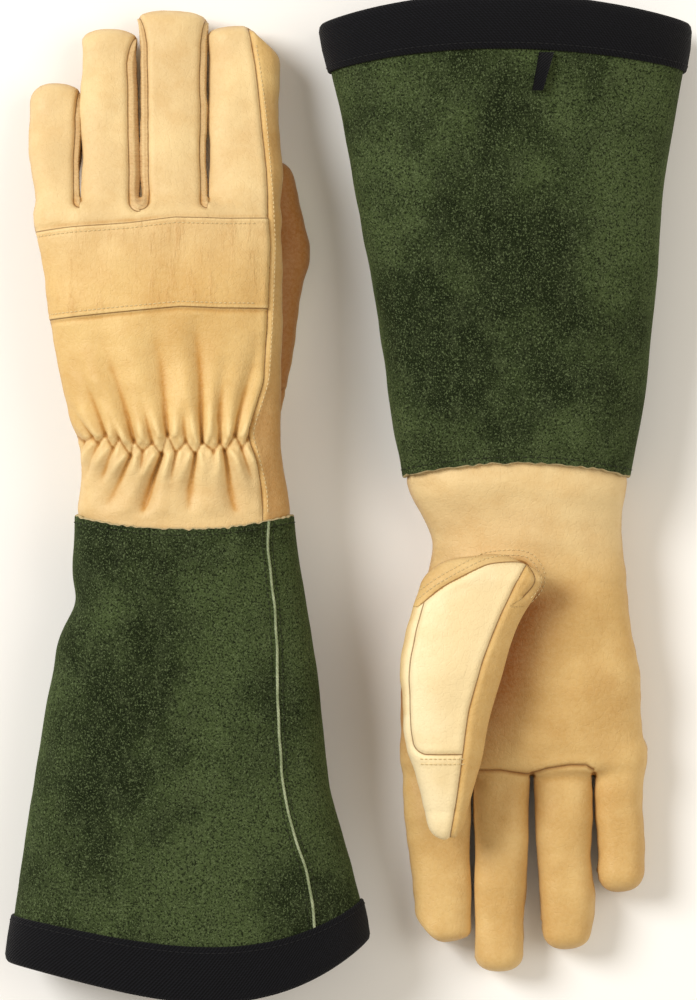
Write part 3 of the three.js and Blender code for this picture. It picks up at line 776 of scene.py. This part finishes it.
class Paint:
    """A node material under construction."""

    def __init__(self, name, **shader):
        self.material = bpy.data.materials.new(name)
        self.material.use_nodes = True
        self.tree = self.material.node_tree
        self.tree.nodes.clear()
        self.shader = self.add("ShaderNodeBsdfPrincipled", shader)
        output = self.add("ShaderNodeOutputMaterial")
        self.tree.links.new(self.shader.outputs[0], output.inputs[0])

    def add(self, kind, inputs=None, **settings):
        """A node with these inputs, each a value or another node's output."""
        made = self.tree.nodes.new(kind)
        for key, value in settings.items():
            setattr(made, key, value)
        for key, value in (inputs or {}).items():
            self.put(made, key, value)
        return made

    def put(self, made, key, value):
        """Feeds one input of a node."""
        if isinstance(value, bpy.types.NodeSocket):
            self.tree.links.new(value, made.inputs[key])
        else:
            made.inputs[key].default_value = value

    def value(self, name):
        """A value the mesh carries at its points."""
        return self.add("ShaderNodeAttribute", attribute_name=name).outputs["Fac"]

    def place(self, scale=(1, 1, 1)):
        """Where a point is in the glove frame, in millimetres."""
        rest = self.add("ShaderNodeAttribute", attribute_name="rest").outputs["Vector"]
        return self.add("ShaderNodeMapping", {"Vector": rest, "Scale": scale}).outputs[0]

    def noise(self, size, detail=3.0, rough=0.55, where=None):
        inputs = {"Vector": where or self.place(), "Scale": 1 / size, "Detail": detail, "Roughness": rough}
        return self.add("ShaderNodeTexNoise", inputs).outputs["Fac"]

    def cells(self, feature, size, scale=(1, 1, 1)):
        inputs = {"Vector": self.place(scale), "Scale": 1 / size}
        return self.add("ShaderNodeTexVoronoi", inputs, feature=feature).outputs["Distance"]

    def bands(self, direction, scale, distortion):
        inputs = {"Vector": self.place(), "Scale": scale, "Distortion": distortion}
        settings = {"wave_type": "BANDS", "bands_direction": direction}
        return self.add("ShaderNodeTexWave", inputs, **settings).outputs["Fac"]

    def math(self, operation, a, b=0.0, c=0.0):
        return self.add("ShaderNodeMath", {0: a, 1: b, 2: c}, operation=operation).outputs[0]

    def minus(self, value):
        return self.math("MULTIPLY", value, -1.0)

    def ramp(self, value, low, high):
        inputs = {"Value": value, "From Min": low, "From Max": high}
        return self.add("ShaderNodeMapRange", inputs, interpolation_type="SMOOTHSTEP").outputs[0]

    def mix(self, share, a, b):
        return self.add("ShaderNodeMix", {0: share, 6: a, 7: b}, data_type="RGBA").outputs[2]

    def tint(self, colour, share, strength, towards):
        """The colour, mixed towards an sRGB one by this share of a strength."""
        return self.mix(self.math("MULTIPLY", share, strength), colour, srgb(*towards))

    def bump(self, height, distance, normal=None):
        inputs = {"Height": height, "Distance": distance * MM, "Strength": 1.0}
        if normal:
            inputs["Normal"] = normal
        return self.add("ShaderNodeBump", inputs).outputs[0]

    def done(self, colour, normal, roughness=None):
        self.put(self.shader, "Base Color", colour)
        self.put(self.shader, "Normal", normal)
        if roughness:
            self.put(self.shader, "Roughness", roughness)
        return self.material


def srgb(r, g, b):
    """An sRGB colour of 0 to 255 as linear RGBA."""
    lift = [v / 255 for v in (r, g, b)]
    return (*[v / 12.92 if v < 0.04045 else ((v + 0.055) / 1.055) ** 2.4 for v in lift], 1.0)


def leather_colour(p, on_band, streaks, line, pores):
    """Tan, paler where it is worn, with painted highlights on its crests, orange-brown painted shade in its
    folds, creases and the deep field, and orange brown along its seams.
    """
    broad = p.ramp(p.noise(34, 3), 0.36, 0.66)
    hollow = p.value("hollow")
    colour = p.mix(broad, srgb(204, 166, 101), srgb(219, 185, 121))
    colour = p.tint(colour, p.value("worn"), 1.0, (238, 226, 192))
    colour = p.tint(colour, p.ramp(p.noise(11, 3, 0.55), 0.40, 0.72), 0.22, (192, 145, 76))
    colour = p.tint(colour, on_band, 0.12, (200, 150, 82))
    colour = p.tint(colour, p.math("MULTIPLY", on_band, streaks), 0.35, (184, 132, 66))
    cream = p.mix(broad, srgb(234, 212, 164), srgb(243, 226, 184))
    colour = p.mix(p.ramp(p.value("pale"), -0.25, 0.25), colour, cream)
    for share, strength, towards in (
        # painted shade: strips, index side, sides and thumb, and the thumb's shadow on the palm; also the
        # palm's darker tone
        (p.value("deep"), 1.0, (150, 84, 8)),
        # painted shade in broad folds
        (p.ramp(p.value("valley"), 0.04, 0.85), 0.8, (184, 128, 42)),
        # painted shade in creases
        (p.ramp(hollow, 0.04, 0.4), 0.4, (152, 98, 28)),
        # painted highlight on crests
        (p.ramp(p.minus(hollow), 0.04, 0.3), 0.35, (244, 222, 165)),
        (line, 0.78, (116, 72, 26)),
        # painted shade at the elastic's pinches
        (p.ramp(p.minus(p.value("pinch")), -0.7, -0.1), 0.6, (150, 98, 34)),
        (p.ramp(p.minus(p.math("ABSOLUTE", p.value("base"))), -1.5, -0.2), 0.6, (150, 96, 34)),
        (p.math("SUBTRACT", 1.0, p.ramp(pores, 0.05, 0.3)), 0.12, (156, 106, 46)),
        (p.ramp(p.noise(1.5, 3, 0.7), 0.3, 0.7), 0.09, (246, 226, 178)),
    ):
        colour = p.tint(colour, share, strength, towards)
    return colour


def leather_paint():
    """Grain leather: pores, fine creases, ribs on the side strips and a groove along each seam."""
    p = Paint("leather", **{"Specular IOR Level": 0.32, "Sheen Weight": 0.03, "Sheen Roughness": 0.5})
    on_band = p.ramp(p.value("band_edge"), -0.3, 0.3)
    streaks = p.ramp(p.noise(4.5, 4, 0.7, p.place((1, 0.16, 1))), 0.5, 0.75)
    seam = p.math("ABSOLUTE", p.value(SEAM_FIELDS[0]))
    for name in SEAM_FIELDS[1:]:
        seam = p.math("MINIMUM", seam, p.math("ABSOLUTE", p.value(name)))
    line = p.ramp(p.minus(seam), -0.36, -0.08)
    pores = p.cells("SMOOTH_F1", 0.8)
    crease = p.ramp(p.cells("DISTANCE_TO_EDGE", 2.8, (1, 0.7, 1)), 0.0, 0.07)
    along_glove = p.add("ShaderNodeSeparateXYZ", {0: p.place()}).outputs[1]
    ribs = p.math("SINE", p.math("MULTIPLY", along_glove, math.tau / 2.3))
    normal = None
    for height, depth in (
        (p.noise(3.2, 3, 0.55), 0.22),
        (p.math("MULTIPLY", streaks, on_band), 0.2),
        (p.math("MULTIPLY", ribs, p.value("strips")), 0.12),
        (crease, 0.05),
        (pores, 0.09),
        (p.minus(line), 0.2),
    ):
        normal = p.bump(height, depth, normal)
    gloss = p.math("MULTIPLY_ADD", p.noise(6, 2), 0.16, 0.46)
    return p.done(leather_colour(p, on_band, streaks, line, pores), normal, gloss)


def suede_paint():
    """Split suede: dark green nap, speckled with pale fibres, with a pale cut edge."""
    p = Paint("suede", **{"Roughness": 0.95, "Specular IOR Level": 0.1, "Sheen Weight": 0.3,
                          "Sheen Roughness": 0.5, "Sheen Tint": srgb(120, 140, 84)})
    colour = p.mix(p.ramp(p.noise(46, 4, 0.55), 0.38, 0.64), srgb(25, 33, 14), srgb(66, 79, 46))
    for share, strength, towards in (
        (p.ramp(p.noise(6, 4, 0.7, p.place((1, 0.5, 1))), 0.42, 0.75), 0.4, (74, 84, 56)),
        (p.ramp(p.noise(0.9, 3, 0.7), 0.47, 0.6), 0.9, (14, 19, 8)),
        (p.ramp(p.noise(0.7, 3, 0.75, p.place((1, 0.8, 1.1))), 0.53, 0.64), 0.75, (98, 112, 76)),
        (p.ramp(p.minus(p.cells("F1", 1.6, (1, 0.55, 1))), -0.16, -0.05), 0.22, (136, 148, 108)),
        (p.ramp(p.value("cut"), 0.4, 0.9), 1.0, (184, 166, 128)),
    ):
        colour = p.tint(colour, share, strength, towards)
    normal = p.bump(p.noise(6, 3, 0.6), 0.5)
    normal = p.bump(p.noise(0.9, 3, 0.75), 0.45, normal)
    return p.done(colour, normal)


def weave(p, pitch, slope):
    """Height of diagonal ribs in a tape, from its woven coordinates."""
    spot = p.add("ShaderNodeAttribute", attribute_name="woven").outputs["Vector"]
    split = p.add("ShaderNodeSeparateXYZ", {0: spot})
    slant = p.math("ADD", split.outputs[0], p.math("MULTIPLY", split.outputs[1], slope))
    wave = p.math("SINE", p.math("MULTIPLY", slant, math.tau / pitch))
    cross = p.math("SINE", p.math("MULTIPLY", split.outputs[1], math.tau / (0.6 * pitch)))
    return p.math("ADD", wave, p.math("MULTIPLY", cross, 0.35))


def webbing_paint():
    """Black twill tape."""
    p = Paint("webbing", **{"Roughness": 0.85, "Specular IOR Level": 0.16, "Sheen Weight": 0.03})
    ribs = weave(p, 1.5, 1.0)
    lint = p.ramp(p.noise(1.4, 4, 0.7), 0.5, 0.8)
    colour = p.mix(p.ramp(ribs, -0.9, 1.1), srgb(3, 3, 6), srgb(15, 16, 22))
    return p.done(p.tint(colour, lint, 0.25, (32, 34, 42)), p.bump(ribs, 0.16))


def welt_paint():
    """Sage tape over the cuff's lap seam."""
    p = Paint("welt", **{"Roughness": 0.85, "Specular IOR Level": 0.2})
    ribs = weave(p, 1.1, 0.6)
    fade = p.ramp(p.noise(7, 3), 0.35, 0.7)
    colour = p.mix(fade, srgb(134, 146, 112), srgb(172, 182, 150))
    return p.done(p.tint(colour, p.ramp(ribs, -1, 1), 0.35, (108, 116, 76)), p.bump(ribs, 0.1))


def thread_paint(name, light, dark):
    """Twisted sewing thread."""
    p = Paint(name, **{"Roughness": 0.7, "Specular IOR Level": 0.25})
    twist = p.bands("DIAGONAL", 1.4, 1.0)
    return p.done(p.mix(p.ramp(twist, 0.1, 0.9), dark, light), p.bump(twist, 0.06))


def elastic_paint():
    """Ribbed elastic, cream."""
    p = Paint("elastic", **{"Roughness": 0.9})
    ribs = p.bands("Y", 0.5, 0.0)
    return p.done(p.mix(ribs, srgb(196, 184, 156), srgb(228, 218, 196)), p.bump(ribs, 0.3))


def floor_paint():
    """A plain pale floor."""
    p = Paint("floor", **{"Roughness": 0.9, "Specular IOR Level": 0.1})
    soft = p.add("ShaderNodeTexNoise", {"Scale": 3.0}).outputs["Fac"]
    colour = p.mix(p.ramp(soft, 0.3, 0.7), (0.93, 0.93, 0.925, 1), (0.95, 0.95, 0.945, 1))
    return p.done(colour, p.bump(soft, 0.01))


PAINTS = {
    "leather": leather_paint(),
    "suede": suede_paint(),
    "webbing": webbing_paint(),
    "welt": welt_paint(),
    "elastic": elastic_paint(),
    "cream_thread": thread_paint("cream_thread", srgb(238, 218, 168), srgb(196, 166, 112)),
    "green_thread": thread_paint("green_thread", srgb(46, 54, 30), srgb(24, 30, 14)),
    "black_thread": thread_paint("black_thread", srgb(30, 31, 35), srgb(10, 10, 12)),
}


# ---- baking each piece's placement, by its group

def hand_blend(side, made):
    """The hand's leather: works out the ends of the wrist's span, then bakes the piece's placement into its
    points.
    """
    start, end = to_world(side, [[0, y, 0] for y in WRIST_FOLD])
    tuple(start)
    tuple(end)
    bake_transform(made)


def finger_blend(side, name, made):
    """A finger's leather: works out the ends of a span to both sides of the finger's bending line, then bakes
    the piece's placement into its points.
    """
    spot = to_local(side, joint(f"{side}_{name}_bend")["pos_m"])
    reach = np.array([0, FINGER_FOLD, 0])
    start, end = to_world(side, [spot - reach, spot + reach])
    tuple(start)
    tuple(end)
    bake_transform(made)


def thumb_blend(side, made):
    """The thumb's leather: works out the ends of the thumb's span, then bakes the piece's placement into its
    points.
    """
    start, end = to_world(side, [[0, y, 0] for y in THUMB_FOLD])
    tuple(start)
    tuple(end)
    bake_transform(made)


def settle(side, group, made):
    """Bakes a piece's placement through its group's function: hand, thumb or a finger."""
    if group == "hand":
        hand_blend(side, made)
    elif group == "thumb":
        thumb_blend(side, made)
    else:
        finger_blend(side, group, made)


# ---- leather pieces

def leather_labels(skin):
    """(group, panel) of every point of the leather."""
    y = skin.points[:, 1]
    names = np.full(len(y), "hand.palm_panel", dtype=object)
    hand = skin.finger < 0
    names[skin.is_back] = "hand.back_panel"
    names[skin.is_base & hand] = "hand.middle_ring_front"
    names[skin.is_back & (skin.band > 0)] = "hand.knuckle_band"
    for k, (a, b) in enumerate(GAPS):
        names[skin.fork == k] = f"hand.{a}_{b}_fork"
    for k, name in enumerate(FINGERS):
        mine = skin.finger == k
        names[mine & skin.is_back] = f"{name}.{name}_back"
        names[mine & ~skin.is_back] = f"{name}.{name}_front"
        names[mine & (skin.fork == k)] = f"{name}.{name}_outer_side"
        names[mine & (skin.fork >= 0) & (skin.fork == k - 1)] = f"{name}.{name}_thumb_side"
    thumb = skin.is_thumb
    names[thumb] = "thumb.thumb_back"
    names[thumb & skin.strip] = "thumb.thumb_strip"
    names[thumb & skin.patch] = "thumb.thumb_patch"
    names[thumb & skin.patch & skin.thumb_far] = "thumb.thumb_tip"
    return names


def leather_pieces(side, skin):
    """The leather cut into its panels."""
    labels = leather_labels(skin)
    keys = labels[skin.quads[:, 0]]
    values = {"hollow": skin.hollow, "valley": skin.valley, "pale": skin.pale, "deep": skin.deep,
              "worn": skin.worn, "strips": skin.strips, "pinch": skin.pinch, **skin.seams}
    for key in sorted(set(keys)):
        group, panel = key.split(".")
        faces = skin.quads[keys == key]
        used, faces = np.unique(faces, return_inverse=True)
        own = {name: value[used] for name, value in values.items()}
        made = part_of(side, panel, skin.points[used], faces.reshape(-1, 4), PAINTS["leather"],
                       skin.normals[used], own)
        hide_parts(f"{side}_{panel}")
        settle(side, group, made)


def elastic_piece(side, skin):
    """The elastic sewn inside the back of the wrist."""
    x, y = skin.points[:, 0], skin.points[:, 1]
    inside_it = (np.abs(y - elastic_line(x)) < ELASTIC_HALF) & (skin.height > 5) & skin.is_back
    faces = skin.quads[inside_it[skin.quads].all(1)]
    used, faces = np.unique(faces, return_inverse=True)
    faces = faces.reshape(-1, 4)
    points = np.concatenate([skin.points[used] - depth * skin.normals[used] for depth in (1.6, 2.6)])
    faces = np.concatenate([faces, faces[:, ::-1] + len(used)])
    made = part_of(side, "wrist_elastic", points, faces, PAINTS["elastic"])
    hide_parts(side + "_wrist_elastic")
    hand_blend(side, made)


# ---- stitching

def offset_curve(curve, distance):
    """A plan curve moved to its left by a distance."""
    way = np.gradient(curve, axis=0)
    way /= np.maximum(np.linalg.norm(way, axis=1, keepdims=True), 1e-9)
    return curve + distance * np.stack([-way[:, 1], way[:, 0]], 1)


def sew(skin, curve, way):
    """Stitches along a plan curve laid on the surface, seen from way: centres, ways, ups."""
    hits = [skin.drop(x, y, way) for x, y in curve]
    points, normals = (np.array(v) for v in zip(*(hit for hit in hits if hit[0] is not None)))
    reach = running_length(points)
    spots = np.arange(SEAM_PITCH / 2, reach[-1] - SEAM_PITCH / 2, SEAM_PITCH)
    ends = [read_along(spots + half, reach, points) for half in (SEAM_STITCH / 2, -SEAM_STITCH / 2)]
    ups = read_along(spots, reach, normals)
    return read_along(spots, reach, points) + 0.12 * ups, ends[0] - ends[1], ups


def seam_rows(skin):
    """(seam, plan curve, side seen from) of every row of stitches."""
    thumb = skin.glove.thumb
    ys = np.arange(4, SIDE_SEAM[-1][0] - 6, 1.0)
    yield "side", np.stack([table(SIDE_SEAM, 5.0)(ys) + 1.9, ys], 1), -1
    xs = np.arange(BAND_TOP[0][0] + 4, 33, 1.0)
    for border, inwards in ((BAND_TOP, -2.3), (BAND_LOW, 2.3)):
        yield "band", np.stack([xs, np.interp(xs, *zip(*border)) + inwards], 1), -1
    for away in (2.2, 4.4):
        yield "arch", offset_curve(along(ARCH), away), 1
    wide = thumb.wide(THUMB_TIP_SEAM)
    xs = thumb.centre(THUMB_TIP_SEAM) + np.arange(-0.5 * wide, 0.82 * wide, 1.0)
    for up in (1.8, 4.0):
        yield "thumb", np.stack([xs, np.full(len(xs), THUMB_TIP_SEAM + up)], 1), 1


def stitch_pieces(side, skin):
    """The hand's stitches, apart by group: hand, thumb or index."""
    groups = {}
    for name, curve, way in seam_rows(skin):
        row = sew(skin, curve, way)
        # The side seam runs on along the index finger.
        far = (name == "side") & (row[0][:, 1] > skin.glove.root)
        for mask, group in ((~far, "thumb" if name == "thumb" else "hand"), (far, "index")):
            if mask.any():
                groups.setdefault(group, []).append([values[mask] for values in row])
    for group, rows in groups.items():
        made = thread_piece(side, group + "_stitching", rows, 1.35, "cream_thread")
        settle(side, group, made)


# ---- cuff

def signed_power(value, power):
    return np.sign(value) * np.abs(value) ** power


class Cuff:
    """The suede sleeve's surface, by angle round it, y along it and distance outwards."""

    def __init__(self, side):
        lines = edges(side, ["cuff_sleeve"])
        near_hem, further = np.arange(HEM + 0.5, HEM + 24, 4), np.arange(HEM + 28, CUFF_EDGE, 6)
        ys = np.concatenate([near_hem, further, [CUFF_EDGE - 0.3]])
        self.side = side
        rows = [slice_at(lines, min(y, CUFF_EDGE - 0.3)) for y in ys]
        self.tube = Tube(ys, rows, 7.0)
        self.seed = FOLD_SEED[side]

    def point(self, angle, y, out=0.0):
        """Points of the sleeve at these angles and places, this far out of its surface."""
        angle, y, out = np.broadcast_arrays(angle, np.asarray(y, float), np.asarray(out, float))
        across, up = (signed_power(wave(angle), 2 / CUFF_POWER) for wave in (np.cos, np.sin))
        base = np.stack([across * 60, y, up * 25], -1).reshape(-1, 3)
        fold = 1.8 * noise(base * [1, 0.5, 0.3], 60, self.seed) + 0.35 * noise(base, 19, self.seed + 1)
        fold = fold.reshape(angle.shape) * ease((y - HEM + 4) / 30) * ease((CUFF_EDGE + 8 - y) / 24)
        fold = fold * (0.25 + 0.75 * np.sqrt(np.abs(np.sin(angle))))
        highest = np.where(up * TURN[self.side] < -0.3, 0.2, 2.2)  # the floor keeps the underside flat
        tuck = 1.2 * bell(y + 52, 8) * bell(across + 1, 0.3) - 2.4 * bell(y + 34, 9) * bell(across + 1, 0.35)
        out = out + np.clip(fold, -2.6, highest) + TUCK[self.side] * tuck
        x = self.tube.centre(y) + (self.tube.wide(y) + out) * across
        z = self.tube.middle(y) + (self.tube.tall(y) + out) * up
        near_hem = np.clip((HEM_START - y) / (HEM_START - HEM), 0, 1.2)
        hem = near_hem * sum(k * across**i for i, k in enumerate(HEM_CURVE[self.side]))
        edge = ease((y + 26) / 28) * EDGE_BOW
        ragged = 0.4 * noise(base, 5, self.seed + 2).reshape(angle.shape) * ease((y - CUFF_EDGE + 4) / 4)
        return np.stack([x, y - hem - edge * (1 - across**2) + ragged, z], -1)


def woven_places(shape, along_tape, across_tape):
    """Where each point of a grid is in the weave of its tape."""
    woven = np.zeros((*shape, 3))
    woven[:, :, 0] = along_tape
    woven[:, :, 1] = across_tape
    return woven.reshape(-1, 3)


def swept(cuff, profile):
    """A closed profile of (y, outwards) carried round the cuff: points, faces and woven places."""
    profile = np.asarray(profile, float)
    angles = np.arange(ROUND) * math.tau / ROUND
    points = cuff.point(angles[None, :], profile[:, :1], profile[:, 1:])
    shape = points.shape[:2]
    woven = woven_places(shape, running_length(points[0]), profile[:, :1])
    return points.reshape(-1, 3), grid_faces(*shape, rows_closed=True), woven


def cuff_sleeve(side, cuff):
    """The suede sleeve: outside, cut edge at the wrist, and inside."""
    step = 1.5
    ys = np.append(np.arange(HEM + 0.6, CUFF_EDGE - 1.5, step), CUFF_EDGE - 0.9)
    rim = [(CUFF_EDGE - 0.25, -0.15), (CUFF_EDGE, -0.6), (CUFF_EDGE, -SUEDE_THICK + 0.6),
           (CUFF_EDGE - 0.25, -SUEDE_THICK + 0.15)]
    profile = [*((y, 0.0) for y in ys), *rim, *((y, -SUEDE_THICK) for y in ys[::-1])]
    points, faces, _ = swept(cuff, profile)
    cut = np.repeat([float(spot in rim) for spot in profile], ROUND)
    sleeve = part_of(side, "cuff_sleeve", points, faces, PAINTS["suede"], None, {"cut": cut})
    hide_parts(side + "_cuff_sleeve")
    return sleeve


def hem_binding(side, cuff):
    """The tape folded over the hem."""
    top, out, back = HEM + TAPE_HIGH, 1.5, -SUEDE_THICK - 1.4
    tape = [(top, 0.25), (top + 0.1, 0.8), (top - 0.4, 1.35), (top - 2, out), (HEM + 9, out + 0.25),
            (HEM + 1.5, out), (HEM - 0.6, out - 0.5), (HEM - 1.7, 0.2), (HEM - 1.9, -0.95),
            (HEM - 1.7, -2.1), (HEM - 0.6, back + 0.4), (HEM + 1.5, back), (top - 2, back),
            (top - 0.4, back + 0.2), (top, back + 0.9), (HEM + 0.4, -SUEDE_THICK - 0.2),
            (HEM + 0.2, -SUEDE_THICK / 2), (HEM + 0.4, 0.2)]
    points, faces, woven = swept(cuff, tape)
    binding = part_of(side, "hem_binding", points, faces, PAINTS["webbing"], None, {"woven": woven})
    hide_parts(side + "_hem_binding")
    return binding


def cuff_pieces(side):
    """Everything sewn to the cuff, and its hanging loop."""
    cuff = Cuff(side)
    for piece in (cuff_sleeve, hem_binding, cuff_stitches, binding_stitches, lap_welt):
        made = piece(side, cuff)
        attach(made, side + "_cuff")
    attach(hanging_loop(side, cuff), side + "_loop")


def angle_at(cuff, y, x):
    """The angle on the back where the sleeve passes x at y."""
    across = np.clip((x - cuff.tube.centre(y)) / cuff.tube.wide(y), -1, 1)
    return np.arccos(signed_power(across, CUFF_POWER / 2))


def lap_welt(side, cuff):
    """The folded tape over the sleeve's lap seam."""
    ys = np.arange(HEM + TAPE_HIGH - 1, CUFF_EDGE - 0.4, 1.2)
    xs = table(LAP_LINE, 8.0)(ys)
    profile = ((-0.48, 0.0), (-0.45, 0.4), (-0.22, 0.62), (0.22, 0.62), (0.45, 0.4), (0.48, 0.0))
    points = np.stack([cuff.point(angle_at(cuff, ys, xs + offset), ys, out) for offset, out in profile], 1)
    woven = woven_places(points.shape[:2], [offset for offset, _ in profile], ys[:, None])
    faces = grid_faces(len(ys), len(profile))[:, ::-1]
    made = part_of(side, "cuff_seam_welt", points.reshape(-1, 3), faces, PAINTS["welt"], None,
                   {"woven": woven})
    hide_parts(side + "_cuff_seam_welt")
    return made


def around(cuff, y, out, pitch):
    """Stitch places all round the sleeve at one height: centres, ways, ups."""
    angles = np.linspace(0, math.tau, 1200)
    reach = running_length(cuff.point(angles, y, out))
    spots = np.arange(0, reach[-1] - pitch / 2, pitch)
    where = np.interp(spots, reach, angles)
    centres = cuff.point(where, y, out)
    ways = cuff.point(where + 0.01, y, out) - cuff.point(where - 0.01, y, out)
    return centres, ways, cuff.point(where, y, out + 1) - centres


def cuff_stitches(side, cuff):
    """Stitches round the edge at the wrist, and on both sides of the lap seam."""
    lap = table(LAP_LINE, 8.0)
    rows = [around(cuff, CUFF_EDGE - 3.0, 0.05, CUFF_PITCH)]
    ys = np.arange(HEM + TAPE_HIGH + 2, CUFF_EDGE - 2, CUFF_PITCH)
    for offset in (-2.3, 2.3):
        angle, after = (angle_at(cuff, spots, lap(spots) + offset) for spots in (ys, ys + 1))
        centres = cuff.point(angle, ys, 0.05)
        ways = cuff.point(after, ys + 1, 0.05) - centres
        rows.append((centres, ways, cuff.point(angle, ys, 1.0) - centres))
    made = thread_piece(side, "cuff_stitching", rows, 2.0, "green_thread")
    return made


def binding_stitches(side, cuff):
    """Stitches along the top of the binding."""
    row = around(cuff, HEM + TAPE_HIGH - 2.2, 1.5, 2.6)
    made = thread_piece(side, "binding_stitching", [row], 1.9, "black_thread")
    return made


def folded_tape(long, deep, thick, root):
    """A tape folded over at its end, seen from its side: (length, depth) round its thickness."""
    turns = np.linspace(0, math.pi, 9)
    outer, inner = ([(long - deep / 2 + radius * math.sin(a), radius * math.cos(a) - deep / 2) for a in turns]
                    for radius in (deep / 2, deep / 2 - thick))
    return np.array([(root, 0), *outer, (root, -deep), (root, thick - deep), *inner[::-1], (root, -thick)])


def hanging_loop(side, cuff):
    """A folded tape caught under the binding on the palm side."""
    low, high = np.sort([to_local(side, p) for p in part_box(side + "_hanging_loop")], axis=0)
    _, long, deep = high - low
    line = folded_tape(long, deep, LOOP_THICK, LOOP_ROOT)
    across = np.linspace(0, 1, 5)[:, None]
    reach = line[:, 0] / long
    points = np.zeros((len(across), len(line), 3))
    points[:, :, 0] = low[0] + LOOP_WIDE * (0.5 + (across - 0.5) * (1 - 0.3 * reach)) + LOOP_LEAN * reach
    points[:, :, 1] = low[1] + line[:, 0]
    points[:, :, 2] = high[2] + line[:, 1]
    sides = grid_faces(len(across), len(line))
    last = len(line) - 1
    near_cap = np.array([(i, i + 1, last - 1 - i, last - i) for i in range(len(line) // 2 - 1)])
    far_cap = near_cap[:, ::-1] + (len(across) - 1) * len(line)
    woven = woven_places(points.shape[:2], running_length(line), across * LOOP_WIDE)
    made = part_of(side, "hanging_loop", points.reshape(-1, 3), np.concatenate([sides, near_cap, far_cap]),
                   PAINTS["webbing"], None, {"woven": woven})
    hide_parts(side + "_hanging_loop")
    return made


# ---- both gloves and the set

def add_floor():
    """A floor much wider than the picture."""
    points = np.array([[-4, -4, 0], [4, -4, 0], [4, 4, 0], [-4, 4, 0]], float)
    made = build("floor", points, [[0, 1, 2, 3]], floor_paint())


def add_light(name, place, size, power, colour):
    """A round soft light that faces the gloves."""
    data = bpy.data.lights.new(name, "AREA")
    data.shape = "DISK"
    data.size = size
    data.energy = power
    data.color = colour
    made = bpy.data.objects.new(name, data)
    made.location = place
    made.rotation_euler = (-Vector(place)).to_track_quat("-Z", "Y").to_euler()
    bpy.context.scene.collection.objects.link(made)


def add_camera():
    """Straight above, long lens: 430 mm of ground fill the height of the picture."""
    data = bpy.data.cameras.new("camera")
    height, level, view = 2.2, 0.025, 0.430
    data.sensor_width = 36.0
    data.lens = 36.0 * (height - level) / view
    data.clip_end = 20
    made = bpy.data.objects.new("camera", data)
    made.location = (0.00006, -0.0017, height)
    bpy.context.scene.collection.objects.link(made)
    bpy.context.scene.camera = made


def add_world():
    """Warm light from all round."""
    world = bpy.data.worlds.new("world")
    bpy.context.scene.world = world
    world.use_nodes = True
    colour, strength = world.node_tree.nodes["Background"].inputs[:2]
    colour.default_value = (1.0, 0.9, 0.76, 1)
    strength.default_value = 0.5


for side in TURN:
    skin = Leather(Glove(side))
    leather_pieces(side, skin)
    elastic_piece(side, skin)
    stitch_pieces(side, skin)
    cuff_pieces(side)
add_floor()
add_light("key", (-2.3, 1.2, 2.4), 1.7, 104, (1.0, 0.985, 0.96))
add_light("fill", (1.4, 0.2, 1.9), 1.8, 16, (1.0, 0.95, 0.86))
add_camera()
add_world()
bpy.context.scene.view_settings.view_transform = "Standard"
